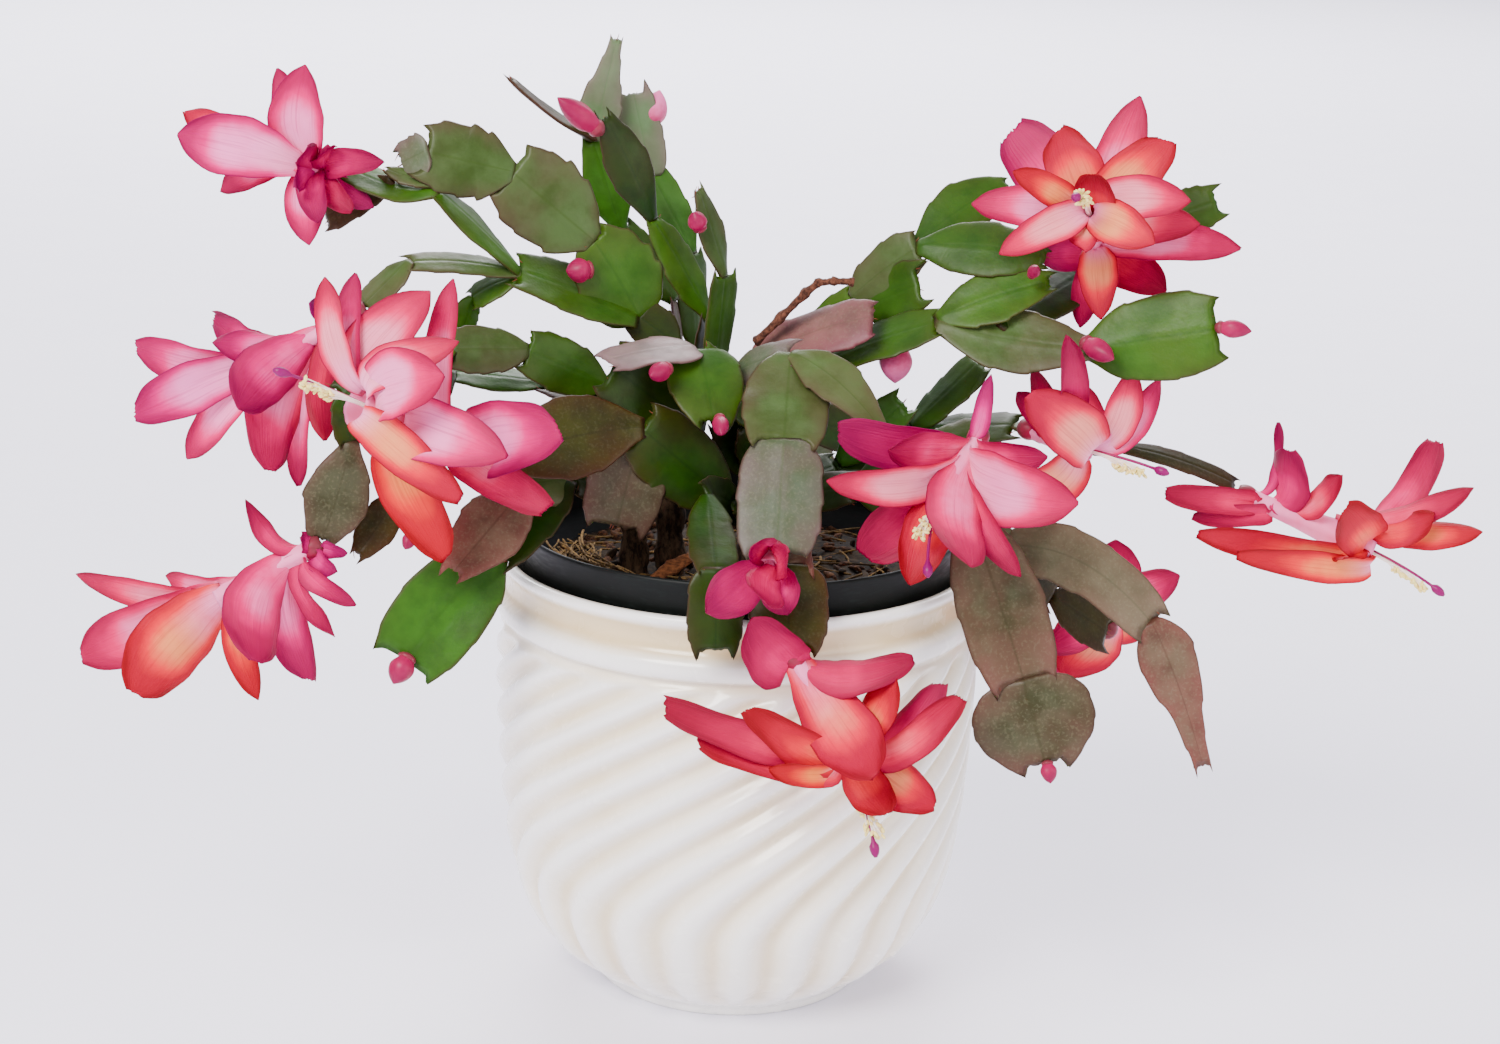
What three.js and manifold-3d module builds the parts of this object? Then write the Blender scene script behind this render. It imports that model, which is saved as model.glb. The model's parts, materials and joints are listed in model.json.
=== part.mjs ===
// A potted Christmas cactus in flower: a ribbed glazed cover pot, the thin nursery pot that
// stands in it, the soil, three woody stems and the jointed branches that carry the flowers
// and buds. Millimetres, +Z up, origin at the centre of the pot's foot, front towards -Y.

import * as THREE from 'three';
import { mergeVertices } from 'three/addons/utils/BufferGeometryUtils.js';
import Module from 'manifold-3d';

const wasm = await Module();
wasm.setup();

// Driving dimensions
const GAP = 0.3;
const COVER_POT_HEIGHT = 132;
const COVER_POT_RIM_RADIUS = 71;
const COVER_POT_FOOT_RADIUS = 40.6;
const COVER_POT_WALL = 4;
const COVER_POT_FLOOR = 7.5;
const RIB_COUNT = 24;
const RIB_DEPTH = 1.5;
const RIB_START = 4;
const RIB_END = 110;
const RIB_PHASE = -94.4;
const RIB_BEND_HEIGHT = 30;
const RIB_BEND_REACH = 24;
const RIB_CLIMB = 1.45;
const NURSERY_RIM_HEIGHT = 141;
const NURSERY_RIM_RADIUS = 66;
const NURSERY_WALL = 1.3;
const NURSERY_COLLAR = 14.5;
const SOIL_HEIGHT = 128;
const JOINT_OVERLAP = 1.2;
const SEGMENT_THICKNESS = 2.4;
const PETAL_THICKNESS = 1.1;
const TUBE_RADIUS = 3.4;
const POT_SIDES = 48;
const ROUND_SIDES = 36;
const SLIVER = 0.02;
const WELD = 1e-3;

// The plant is measured as it is seen from one standpoint in front of it: a place is written
// as x and z where its line of sight crosses the upright plane through the pot's axis, and as
// its depth in front of that plane.
const EYE = new THREE.Vector3(0, -744, 347);
const UPWARD = new THREE.Vector3(0.35, 0, 1);

function seen(x, z, depth) {
  return new THREE.Vector3(x, 0, z).lerp(EYE, depth / -EYE.y);
}

// Stems, as joints [x, z, depth, radius]
const STEMS = {
  woody_stem_left: [[-31, 119, 18, 4.6], [-32, 138, 16, 3.8], [-34, 157, 12, 3.2]],
  woody_stem_middle: [[-20, 119, 16, 4.8], [-21, 138, 13, 4.2], [-19, 158, 9, 3.6]],
  woody_stem_right: [[3, 119, 14, 4.4], [3, 138, 12, 3.8], [2, 158, 8, 3.2]],
};

// Branches, each a list of chains of leaf-like segments. The first row of a chain is the joint
// that it grows from, as [x, z, depth]. Each row after it is one segment, as [x, z, depth] of
// its tip, its width, the angle that its face is turned away from the standpoint, positive
// where it faces up, and the height by which its middle arches.
const BRANCHES = {
  branch_upper_left: [
    [[-20, 157, 9], [-20.5, 174, 9, 13, 60, 0], [-20.5, 194, 6, 13, 50, 0],
      [-31.5, 201.5, 6, 13, 10, 0], [-45, 223.5, 10, 26, 8, 1], [-68.5, 242.5, 16, 29, 6, 0],
      [-93, 247.5, 20, 20, 10, 0], [-100, 244, 17, 12, 20, 0]],
  ],
  branch_far_left: [
    [[-32.5, 200, 9], [-66.5, 213.5, 16, 19, 48, 1], [-90, 236, 22, 14, 66, 1],
      [-121.5, 245.5, 14, 13, 52, -3]],
    [[-103, 239, 18], [-122, 227.5, 10, 10, 25, 0]],
    [[-92, 238, 21], [-104.5, 242, 18, 6, 40, 0]],
    [[-66, 212.5, 16], [-98, 215, 26, 14, 72, 1.5], [-111, 202, 30, 13, 55, 0]],
    [[-67, 211, 16], [-80, 205, 14, 11, 50, 1], [-83.5, 195, 16, 10, 40, 0]],
  ],
  branch_left_long: [
    [[-35, 157, 12], [-37, 169, 12, 14, 30, 0], [-41, 181, 12, 16, 20, 0],
      [-64, 190.5, 20, 16, 15, 0], [-86, 190, 30, 14, 20, 0], [-104, 186, 40, 13, 40, 0],
      [-118, 175, 46, 12, 30, 0], [-115.5, 161, 50, 9, 20, 0], [-124.5, 131, 54, 17.5, 0, -2]],
  ],
  branch_left_low: [
    [[-38, 171, 12], [-58, 180.5, 11, 14, 60, 1], [-86, 183, 18, 14, 66, 0],
      [-97, 166, 32, 12, 50, 0], [-101.5, 147, 40, 11, 10, 0], [-114, 127, 46, 11, 0, -1]],
  ],
  branch_tall_pale: [
    [[-18, 158, 7], [-17.5, 180, -11, 7, 75, 0], [-21.5, 207, -16, 7, 75, 0],
      [-37, 227, -15, 13, 30, 0], [-45.5, 252.5, -13, 13, 5, 0], [-39, 281, -11, 11, 10, 0]],
    [[-45, 253, -12], [-69, 269, -6, 11, 80, -1.5]],
  ],
  branch_tall_green: [
    [[-16, 158, 7], [-13, 180, -3, 11, 60, 0], [-11.5, 202, -3, 11, 60, 0],
      [-28, 230, 0, 13, 55, 1], [-42, 259, 4, 13, 40, 1]],
  ],
  branch_tall_back: [
    [[-17, 157, 5], [-15, 173, -12, 7, 70, 0], [-15, 193, -22, 7, 75, 0],
      [-16.5, 221, -24, 14, 50, 0], [-28.5, 243, -22, 12, 20, 0], [-33, 267, -20, 12, 5, 0]],
  ],
  branch_upright: [
    [[1, 158, 7], [-7, 170, 5, 11, 40, 0], [-9.5, 184, 6, 12, 50, 0],
      [-7, 214.5, 5, 13, 52, 0], [-15, 239, 8, 11, 50, 0]],
  ],
  branch_front_left: [
    [[2, 146, 12], [-4, 147, 31, 13, 40, 0], [-30, 168, 40, 22, 10, 0],
      [-71, 157, 52, 23, 12, 2]],
    [[-30.5, 166, 39], [-37, 138, 42, 22, 8, 0]],
  ],
  branch_front_low: [
    [[-33, 149, 14], [-50, 152, 33, 15, 30, 0], [-63, 150, 42, 14, 20, 0],
      [-85, 122.5, 60, 19, 15, 0]],
    [[-51, 151, 35], [-72, 128, 49, 16, 30, 0], [-100, 94, 60, 25, 0, 2]],
  ],
  branch_center_shade: [
    [[-19, 156, 11], [-14, 168, 24, 15, 30, 0], [-39, 186, 34, 23, 20, 0]],
  ],
  branch_center_round: [
    [[1, 156, 10], [-6, 174, 19, 14, 40, 0], [-14, 191, 27, 14, 40, 0],
      [-9, 171, 44, 21, 12, 2]],
    [[-15, 192, 27], [-40, 187.5, 42, 16, 62, 1]],
  ],
  branch_center_hanging: [
    [[3, 158, 10], [1, 171, 20, 12, 40, 0], [-4, 184, 22, 12, 50, 0],
      [13, 191.5, 30, 14, 52, 1], [12, 165.5, 56, 24, 5, 0], [11, 131.5, 74, 23, 0, 0]],
    [[13.5, 191, 31], [40, 170, 48, 15, 50, 3]],
  ],
  branch_over_rim_left: [
    [[1, 141, 15], [-10, 148, 50, 12, 30, 2], [-7, 125, 80, 13, 10, 0],
      [-6.5, 100, 84, 15, 10, 0]],
  ],
  branch_over_rim_right: [
    [[5, 139, 15], [8, 146, 50, 14, 40, 2], [15, 127, 70, 15, 10, 0],
      [15.5, 102, 84, 21, 0, 0]],
  ],
  branch_mauve: [
    [[3, 158, 6], [3, 174, 7, 12, 45, 0], [3, 189, 9, 13, 45, 0], [37, 203, 18, 17, 38, 2]],
  ],
  branch_right_upper: [
    [[4, 156, 5], [10, 173, -5, 13, 50, 0], [13, 189, -8, 13, 50, 0],
      [31, 209, -4, 13, 40, 0], [49, 224, 2, 15, 25, 1], [86, 222, 14, 18, 30, 1.5]],
    [[34, 206, -2], [50, 213.5, 8, 17, 20, 0]],
    [[49, 225, -2], [74, 243, -14, 16, 20, 2]],
  ],
  branch_right_long: [
    [[5, 154, 8], [14, 172, 8, 14, 40, 0], [21, 188, 8, 14, 40, 0], [55.5, 202, 18, 15, 45, 1],
      [100, 196, 30, 19, 25, -1.5], [137, 203, 40, 24, 5, 0]],
    [[56, 203, 17], [87.5, 215, 18, 17, 30, 1]],
    [[74, 202, 21], [99, 219, -4, 16, 30, 0], [116, 233, -14, 14, 20, 0],
      [134, 240, -14, 13, 10, 0]],
  ],
  branch_right_low: [
    [[5, 150, 8], [28, 158, -4, 15, 40, 0], [50, 171, -10, 14, 30, 0],
      [68.5, 191, -12, 14, 45, 0]],
    [[29, 160, -3], [47, 178, -1, 13, 20, 0]],
    [[51, 170, -10], [80, 172, 6, 14, 50, 0], [108, 166.5, 12, 13, 60, 0],
      [146, 156, 6, 14, 72, 2]],
  ],
  branch_right_hanging: [
    [[5, 147, 11], [34, 152, 30, 15, 40, 0], [68, 144, 50, 17, 20, 1],
      [87, 93, 64, 24, 5, 1], [95, 67, 68, 33, 0, 0]],
    [[35, 153, 30], [52, 163, 32, 14, 40, 0], [70, 170, 34, 14, 40, 0]],
  ],
  branch_right_arch: [
    [[51, 149, 40], [66, 143, 34, 13, 40, 0], [80, 134, 36, 12, 30, 0],
      [124, 112.5, 42, 18, 25, 7], [143, 67.5, 44, 16, 8, 3]],
    [[82, 133, 35], [94, 120, 27, 12, 30, 0], [111, 109, 20, 15, 30, 0]],
  ],
  branch_back_left: [
    [[-20, 156, 6], [-30, 172, -34, 15, 30, 0], [-36, 168, -66, 16, 10, 0],
      [-40, 146, -92, 18, 10, 0], [-42, 118, -104, 20, 0, 0]],
    [[-31, 171, -35], [-54, 166, -52, 16, 30, 0], [-66, 160, -66, 15, 30, 0]],
  ],
  branch_back_right: [
    [[1, 157, 5], [8, 174, -36, 15, 30, 0], [18, 168, -68, 16, 10, 0],
      [22, 146, -94, 18, 10, 0], [24, 118, -106, 20, 0, 0]],
    [[9, 173, -37], [38, 168, -56, 16, 30, 0], [60, 160, -74, 17, 30, 0],
      [78, 152, -86, 17, 30, 0]],
  ],
};

// Flowers: where the base grows from its segment, where the tube opens, and the petals, each
// as [x, z, depth] of its tip, its width, and how far along the tube it stands, 0 to 1
const FLOWERS = {
  flower_1: { base: [-119, 240, 14], mouth: [-130, 243.5, 20], petals: [
    [-127.5, 271, 24, 16, 0.4], [-135, 270, 6, 11, 0.5], [-163, 257.5, 8, 10, 1],
    [-164, 250.5, 26, 17, 1], [-153, 234.5, 10, 9, 1], [-127, 219.5, 24, 12.5, 0.4],
    [-105, 244.5, 29, 8.5, 0.3], [-108, 231, 21, 8, 0.3], [-126, 250, 34, 8, 0.6],
    [-130, 236, 34, 8, 0.6]] },
  flower_2: { base: [-111, 201.5, 30], mouth: [-143, 183, 38], petals: [
    [-156, 197, 28, 11, 0.8], [-178.5, 186, 34, 12, 1], [-155.5, 190, 46, 9, 0.7],
    [-177, 165.5, 42, 13, 1], [-164, 154.5, 32, 10, 0.9], [-150, 170, 58, 17, 0.6],
    [-140.5, 152, 54, 18, 0.5], [-131.5, 148, 40, 9, 0.4], [-124, 161, 50, 10, 0.2],
    [-127, 203, 44, 8, 0.25]] },
  flower_3: { base: [-72, 156.5, 53], mouth: [-112, 175, 76], petals: [
    [-124.5, 210.5, 72, 9, 0.9], [-115.5, 212, 60, 9, 0.8], [-93, 206.5, 64, 16, 0.8],
    [-85.5, 210.5, 56, 10, 0.3], [-86, 192, 80, 12, 0.8], [-90, 182.5, 90, 11, 0.7],
    [-71, 159, 92, 18, 0.45], [-56.5, 167, 76, 21, 0.15], [-84, 145.5, 84, 9, 0.6],
    [-89, 127, 74, 15, 0.35], [-58.5, 143.5, 70, 12, 0.1]] },
  flower_4: { base: [-125, 130, 54], mouth: [-160, 110, 62], petals: [
    [-147, 143, 58, 6.5, 0.15], [-114.5, 111, 64, 7, 0.15], [-121.5, 100.5, 60, 6, 0.2],
    [-198, 118.5, 54, 9, 1], [-172, 118, 52, 9, 0.8], [-198, 91.5, 66, 18, 1],
    [-182, 81, 78, 22, 1], [-146, 91, 84, 19, 0.4], [-145, 80, 64, 10, 0.7],
    [-129, 87, 62, 14, 0.3]] },
  flower_5: { base: [101, 220.5, -5.5], mouth: [97, 239, 36], petals: [
    [73.5, 258.5, 10, 15, 0.5], [88, 259, 22, 17, 0.8], [110, 269.5, 10, 16, 0.5],
    [118.5, 257, 26, 18, 0.8], [126, 238, 36, 14, 1], [130, 233.5, 16, 13, 0.6],
    [142, 226.5, 12, 15, 0.4], [63.5, 237.5, 26, 14, 0.8], [72.5, 223, 40, 11.5, 1],
    [94, 225, 50, 10, 1], [116.5, 227.5, 44, 14, 1], [99, 249, 54, 12, 0.9],
    [75, 247, 38, 9, 0.9], [105, 205, 26, 11, 0.4], [121.5, 213.5, 20, 13, 0.3],
    [97, 202, 10, 9, 0.35], [84, 222, 14, 10, 0.35]] },
  flower_6: { base: [70, 170, 36], mouth: [58, 148, 62], petals: [
    [27, 170, 52, 15, 0.2], [23.5, 153.5, 66, 12, 0.5], [42, 163, 62, 9, 0.2],
    [90, 163, 54, 10, 0.2], [68, 130, 92, 21, 0.3], [100, 150, 70, 20, 0.4],
    [36, 138.5, 62, 16, 0.7], [51, 124, 70, 15, 0.8], [85, 127.5, 72, 8, 0.6],
    [72, 187.5, 38, 7, 0.2]] },
  flower_7: { base: [82, 172, 8], mouth: [104, 164, 26], petals: [
    [77, 181, 16, 9, 0.3], [90.5, 201, 20, 14, 0.4], [84, 190, 8, 10, 0.2],
    [84.5, 181.5, 40, 17, 0.9], [112, 189, 32, 12, 1], [123.5, 188, 22, 10, 1],
    [97, 187.5, 10, 12, 0.7], [101.5, 157.5, 46, 11, 0.5]] },
  flower_8: { base: [147, 154, 8], mouth: [186, 138, 16], petals: [
    [128, 147, 18, 12, 0.7], [136, 138, 6, 11, 0.9], [150, 128.5, 26, 10, 0.9],
    [156.5, 176, 6, 6, 0.2], [152, 166, 16, 9, 0.2], [163.5, 167, 20, 16, 0.4],
    [175, 159, 26, 11, 0.5], [180, 152.5, 28, 11, 0.9], [176, 144, 34, 10, 0.9],
    [201, 170.5, 8, 12, 0.9], [214.5, 158.5, 16, 10, 1], [209, 152, 26, 9, 1],
    [221.5, 144, 24, 10, 1]] },
  flower_9: { base: [16, 101, 84], mouth: [40, 64, 94], petals: [
    [6, 108.5, 92, 18, 0.1], [53.5, 98.5, 88, 12, 0.2], [40, 61, 112, 18, 0.45],
    [-21.5, 80.5, 98, 11, 0.6], [-11.5, 71.5, 92, 10, 0.9], [10.5, 63, 104, 8, 0.9],
    [3, 79, 108, 13, 0.7], [43.5, 92, 96, 12, 0.9], [62.5, 92, 86, 11, 1],
    [69, 87.5, 94, 12, 1], [62.5, 51.5, 100, 14, 1], [46, 47, 104, 12, 1]] },
  flower_10: { base: [111, 110, 18], mouth: [112, 118, -14], petals: [
    [110.5, 137, -16, 12, 0.8], [129.5, 127, -12, 13, 0.8], [101, 96, -2, 14, 0.6],
    [93, 103, 6, 12, 0.5], [121, 106, -8, 12, 0.6], [88, 92, -12, 12, 0.9],
    [112, 128, -30, 12, 1], [126, 112, -28, 12, 1], [75, 86, 4, 9, 0.7]] },
  flower_11: { base: [10.5, 133, 75], mouth: [8, 124, 88], petals: [
    [-9.5, 112, 94, 13, 0.6], [15, 112, 90, 11, 0.6], [14, 131, 98, 10, 0.3],
    [9, 115, 102, 12, 0.8], [4, 133, 94, 9, 0.2]] },
};

// Stamens that show: the bundle's end and the stigma, both as [x, z, depth]
const STAMENS = {
  flower_3: { end: [-127, 179, 84], stigma: [-137, 182.5, 86] },
  flower_5: { end: [95, 241, 48], stigma: [93, 240, 54] },
  flower_6: { end: [53, 139, 72], stigma: [56.5, 125, 80] },
  flower_7: { end: [114, 161, 34], stigma: [123.5, 159.5, 38] },
  flower_8: { end: [198, 131, 22], stigma: [209, 129, 24] },
  flower_9: { end: [44.5, 45, 100], stigma: [45, 36, 102] },
};

// Buds: root and tip as [x, z, depth], and the radius
const BUDS = {
  bud_1: [[-43.5, 255, 6], [-55.5, 264, 12], 3.3],
  bud_2: [[-30, 255, -19], [-27.5, 266, -16], 3],
  bud_3: [[-13, 227, 12], [-16.5, 234, 16], 2.8],
  bud_4: [[-44, 215, 13], [-54, 214.3, 18], 3.4],
  bud_5: [[-22, 187, 40], [-29, 184, 50], 3],
  bud_6: [[-7, 172, 44.5], [-6.3, 167, 54], 2.2],
  bud_7: [[98.5, 198, 33], [107.5, 193, 42], 2.9],
  bud_8: [[137, 203.5, 41], [147, 202.5, 44], 2.4],
  bud_9: [[44, 196, 12], [44, 184, 12], 4.6],
  bud_10: [[95.5, 67.5, 69], [97, 60.5, 72], 2.2],
  bud_11: [[-99, 95.5, 61], [-103.5, 86.5, 66], 3.4],
};

const COLOURS = {
  ivory_glaze: 0xf1ece2,
  black_plastic: 0x1f2423,
  soil: 0x4a3325,
  bark: 0x5b4738,
  chip: 0xb06a3c,
  leaf: 0x4f7d35,
  petal: 0xe8507a,
  filament: 0xf2e6b8,
  bud: 0xd94f86,
};

function standard(colour, roughness) {
  return new THREE.MeshStandardMaterial({ color: colour, roughness, metalness: 0 });
}

// A closed solid from a three.js geometry, with points closer than the weld distance merged
function toSolid(geometry, weld = 1e-4) {
  const plain = geometry.clone();
  plain.deleteAttribute('normal');
  plain.deleteAttribute('uv');
  const merged = mergeVertices(plain, weld);
  return new wasm.Manifold(new wasm.Mesh({
    numProp: 3,
    vertProperties: new Float32Array(merged.attributes.position.array),
    triVerts: new Uint32Array(merged.index.array),
  }));
}

function toGeometry(solid) {
  const mesh = solid.getMesh();
  const geometry = new THREE.BufferGeometry();
  geometry.setAttribute('position', new THREE.BufferAttribute(mesh.vertProperties, 3));
  geometry.setIndex(new THREE.BufferAttribute(mesh.triVerts, 1));
  return geometry;
}

// The biggest body of a solid, without the slivers and sealed pockets of a cut or join
function mainBody(solid) {
  const welded = toSolid(toGeometry(solid.simplify(SLIVER)), WELD);
  return welded.decompose().reduce((best, body) => (body.volume() > best.volume() ? body : best));
}

// A closed skin through rings of points that all have the same number of points
function skin(rings) {
  const count = rings[0].length;
  const points = rings.flat();
  const index = [];
  for (let row = 0; row < rings.length - 1; row += 1) {
    for (let side = 0; side < count; side += 1) {
      const a = row * count + side;
      const b = row * count + ((side + 1) % count);
      index.push(a, b, b + count, a, b + count, a + count);
    }
  }
  const last = points.length - count;
  for (let side = 1; side < count - 1; side += 1) {
    index.push(0, side + 1, side);
    index.push(last, last + side, last + side + 1);
  }
  const geometry = new THREE.BufferGeometry().setFromPoints(points);
  geometry.setIndex(index);
  return toSolid(geometry);
}

// A body turned around Z from a profile of [radius, height] that starts and ends on the axis
function turned(profile, sides) {
  const points = profile.map(([radius, height]) => new THREE.Vector2(radius, height));
  return toSolid(new THREE.LatheGeometry(points, sides).rotateX(Math.PI / 2));
}

// The same profile with every point off the axis moved out along its corner's normal, and the
// points on the axis moved along it
function fuller(profile, grow) {
  return profile.map(([radius, height], i) => {
    const before = profile[Math.max(i - 1, 0)];
    const after = profile[Math.min(i + 1, profile.length - 1)];
    const along = new THREE.Vector2(after[0] - before[0], after[1] - before[1]).normalize();
    return [radius === 0 ? 0 : radius + along.y * grow, height - along.x * grow];
  });
}

// How far a rib has turned round the pot at a height, in degrees: upright at the foot, then
// climbing to the right at a steady slope
function ribTwist(height) {
  const above = Math.max(height - RIB_BEND_HEIGHT, 0);
  return RIB_CLIMB * (Math.hypot(above, RIB_BEND_REACH) - RIB_BEND_REACH);
}

// The cover pot's wall, up the outside from the foot, over the lip and down to the floor, as
// [radius, height]
const COVER_POT_WALL_PROFILE = [
  [COVER_POT_FOOT_RADIUS, 0], [41.4, 2.8], [45, RIB_START], [53, 10], [60, 18], [65, 30],
  [68.4, 45], [70.5, 65], [71.7, 90], [71.2, RIB_END], [69, 112.5], [71.7, 114.8],
  [71.4, 119.2], [69, 122], [68.8, 125.5], [COVER_POT_RIM_RADIUS, 130], [70, COVER_POT_HEIGHT],
  [68.4, COVER_POT_HEIGHT], [67.2, 128.5], [71.7 - COVER_POT_WALL, 90],
  [68.4 - COVER_POT_WALL, 45], [60.8, 30], [55.4, 18], [48.5, 10.5], [44.5, COVER_POT_FLOOR],
];

function coverPot(grow) {
  const samples = POT_SIDES / RIB_COUNT;
  return skin(fuller(COVER_POT_WALL_PROFILE, grow).map(([radius, height], row) => {
    const outside = row < COVER_POT_WALL_PROFILE.findIndex(([, z]) => z === COVER_POT_HEIGHT);
    const ribbed = outside && height >= RIB_START && height < RIB_END;
    const twist = RIB_PHASE + ribTwist(outside ? Math.min(height, RIB_END) : RIB_END);
    const ring = [];
    for (let i = 0; i < POT_SIDES; i += 1) {
      const angle = THREE.MathUtils.degToRad((i * 360) / POT_SIDES + twist);
      const reach = ribbed && i % samples === 0 ? radius - RIB_DEPTH : radius;
      ring.push(new THREE.Vector3(reach * Math.cos(angle), reach * Math.sin(angle), height));
    }
    return ring;
  }));
}

function nurseryPot(grow) {
  const shoulder = NURSERY_RIM_HEIGHT - NURSERY_COLLAR;
  const base = COVER_POT_FLOOR + GAP;
  return turned(fuller([
    [0, base], [42.5, base], [62, shoulder], [65.2, shoulder + 0.6],
    [NURSERY_RIM_RADIUS, NURSERY_RIM_HEIGHT - 0.6],
    [NURSERY_RIM_RADIUS - 0.4, NURSERY_RIM_HEIGHT],
    [NURSERY_RIM_RADIUS - NURSERY_WALL, NURSERY_RIM_HEIGHT],
    [65.2 - NURSERY_WALL, shoulder + 2], [62 - NURSERY_WALL, shoulder],
    [42.5 - NURSERY_WALL, base + NURSERY_WALL], [0, base + NURSERY_WALL],
  ], grow), ROUND_SIDES);
}

function pottingSoil(grow) {
  const bottom = COVER_POT_FLOOR + NURSERY_WALL + 2 * GAP + 0.1;
  return turned(fuller([
    [0, bottom], [40.7, bottom], [59.6, SOIL_HEIGHT - 3.5], [56, SOIL_HEIGHT - 1.2],
    [36, SOIL_HEIGHT], [14, SOIL_HEIGHT + 0.8], [0, SOIL_HEIGHT + 1],
  ], grow), ROUND_SIDES);
}

// The direction of a line of points at one of them
function heading(points, i) {
  const before = points[Math.max(i - 1, 0)];
  const after = points[Math.min(i + 1, points.length - 1)];
  return after.clone().sub(before).normalize();
}

// A round tapering stem through its joints
function stem(joints, grow) {
  const points = joints.map(([x, z, depth]) => seen(x, z, depth));
  const sides = 8;
  const rings = points.map((point, i) => {
    const along = heading(points, i);
    const across = new THREE.Vector3(1, 0, 0).projectOnPlane(along).normalize();
    const back = along.clone().cross(across);
    const ring = [];
    for (let side = 0; side < sides; side += 1) {
      const angle = (side * 2 * Math.PI) / sides;
      const radius = joints[i][3] + grow;
      ring.push(point.clone()
        .addScaledVector(across, radius * Math.cos(angle))
        .addScaledVector(back, radius * Math.sin(angle)));
    }
    return ring;
  });
  return skin(rings);
}

// The side direction of a blade at a point: its face turned away from the standpoint
function bladeSide(point, along, turnDegrees) {
  const facing = EYE.clone().sub(point).projectOnPlane(along).normalize();
  const normal = facing.applyAxisAngle(along, THREE.MathUtils.degToRad(turnDegrees));
  return along.clone().cross(normal);
}

// The turn with the sign that tips the face of a straight blade up, or right if it is upright
function upwardTurn(from, to, turnDegrees) {
  const along = to.clone().sub(from).normalize();
  const tip = along.clone().cross(EYE.clone().sub(from));
  return tip.dot(UPWARD) < 0 ? -turnDegrees : turnDegrees;
}

// A blade with a lens-like section: rings of one edge, underside, other edge and top
function blade(stations) {
  return skin(stations.map(({ point, along, side, half, thick }) => {
    const up = side.clone().cross(along);
    return [
      point.clone().addScaledVector(side, half),
      point.clone().addScaledVector(up, -thick),
      point.clone().addScaledVector(side, -half),
      point.clone().addScaledVector(up, thick),
    ];
  }));
}

// Outline of a segment: place along it, and half width and thickness as parts of the full ones
const SEGMENT_OUTLINE = [[0, 0.14, 0.85], [0.3, 0.43, 0.6], [0.78, 0.5, 0.5], [1, 0.28, 0.6]];

function segment(from, to, [, , , width, turnUp, rise], grow) {
  const turn = upwardTurn(from, to, turnUp);
  const run = to.clone().sub(from);
  const straight = run.clone().normalize();
  const start = from.clone().addScaledVector(straight, -JOINT_OVERLAP - grow);
  const reach = to.clone().addScaledVector(straight, grow).sub(start);
  return blade(SEGMENT_OUTLINE.map(([s, half, thick]) => {
    const point = start.clone().addScaledVector(reach, s);
    point.z += 4 * rise * s * (1 - s);
    const along = reach.clone();
    along.z += 4 * rise * (1 - 2 * s);
    along.normalize();
    const side = bladeSide(point, along, turn);
    return {
      point,
      along,
      side,
      half: width * half + grow,
      thick: SEGMENT_THICKNESS * thick + grow,
    };
  }));
}

function branch(chains, grow) {
  const blades = [];
  for (const chain of chains) {
    const joints = chain.map(([x, z, depth]) => seen(x, z, depth));
    for (let i = 1; i < chain.length; i += 1) {
      blades.push(segment(joints[i - 1], joints[i], chain[i], grow));
    }
  }
  return blades.reduce((whole, piece) => whole.add(piece));
}

// Outline of a petal: place along it and half width as a part of the full width
const PETAL_OUTLINE = [[0, 0.16], [0.62, 0.5], [1, 0.1]];
const PETAL_ROOT = 0.88;
const PETAL_STEP = 0.007;
const PETAL_RING = 0.45;
const PETAL_SPRING = 0.35;
const PETAL_FACING = 0.6;

// A petal leaves the tube along its axis and bends over to its tip. Petals stand in a spiral,
// each a little lower than the one before it.
function petal(base, mouth, [x, z, depth, width, place], order, grow) {
  const axis = mouth.clone().sub(base).normalize();
  const root = base.clone().lerp(mouth, place * PETAL_ROOT - order * PETAL_STEP);
  const tip = seen(x, z, depth);
  const outward = tip.clone().sub(root).projectOnPlane(axis).normalize();
  root.addScaledVector(outward, PETAL_RING * TUBE_RADIUS);
  const elbow = root.clone().addScaledVector(axis, root.distanceTo(tip) * PETAL_SPRING);
  const curve = new THREE.QuadraticBezierCurve3(root, elbow, tip);
  const hoop = axis.clone().cross(outward);
  const facing = tip.clone().sub(root).cross(EYE.clone().sub(tip)).normalize();
  if (facing.dot(hoop) < 0) facing.negate();
  const across = hoop.lerp(facing, PETAL_FACING);
  const points = PETAL_OUTLINE.map(([s]) => curve.getPoint(s));
  return blade(points.map((point, i) => {
    const along = heading(points, i);
    const side = across.clone().projectOnPlane(along).normalize();
    const half = width * PETAL_OUTLINE[i][1] + grow;
    return { point, along, side, half, thick: PETAL_THICKNESS / 2 + grow };
  }));
}

// A body turned around the line from one point to another, as parts of its length and radius
function spindle(from, to, outline, radius, grow, sides = 6) {
  const run = to.clone().sub(from);
  const along = run.clone().normalize();
  const across = new THREE.Vector3(0, -1, 0).projectOnPlane(along).normalize();
  const back = along.clone().cross(across);
  return skin(outline.map(([s, share]) => {
    const centre = from.clone().addScaledVector(run, s);
    if (s === 0) centre.addScaledVector(along, -grow);
    if (s === 1) centre.addScaledVector(along, grow);
    const ring = [];
    for (let side = 0; side < sides; side += 1) {
      const angle = (side * 2 * Math.PI) / sides;
      const reach = radius * share + grow;
      ring.push(centre.clone()
        .addScaledVector(across, reach * Math.cos(angle))
        .addScaledVector(back, reach * Math.sin(angle)));
    }
    return ring;
  }));
}

const TUBE_OUTLINE = [[0, 0.6], [0.2, 0.95], [1, 1.5]];

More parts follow.
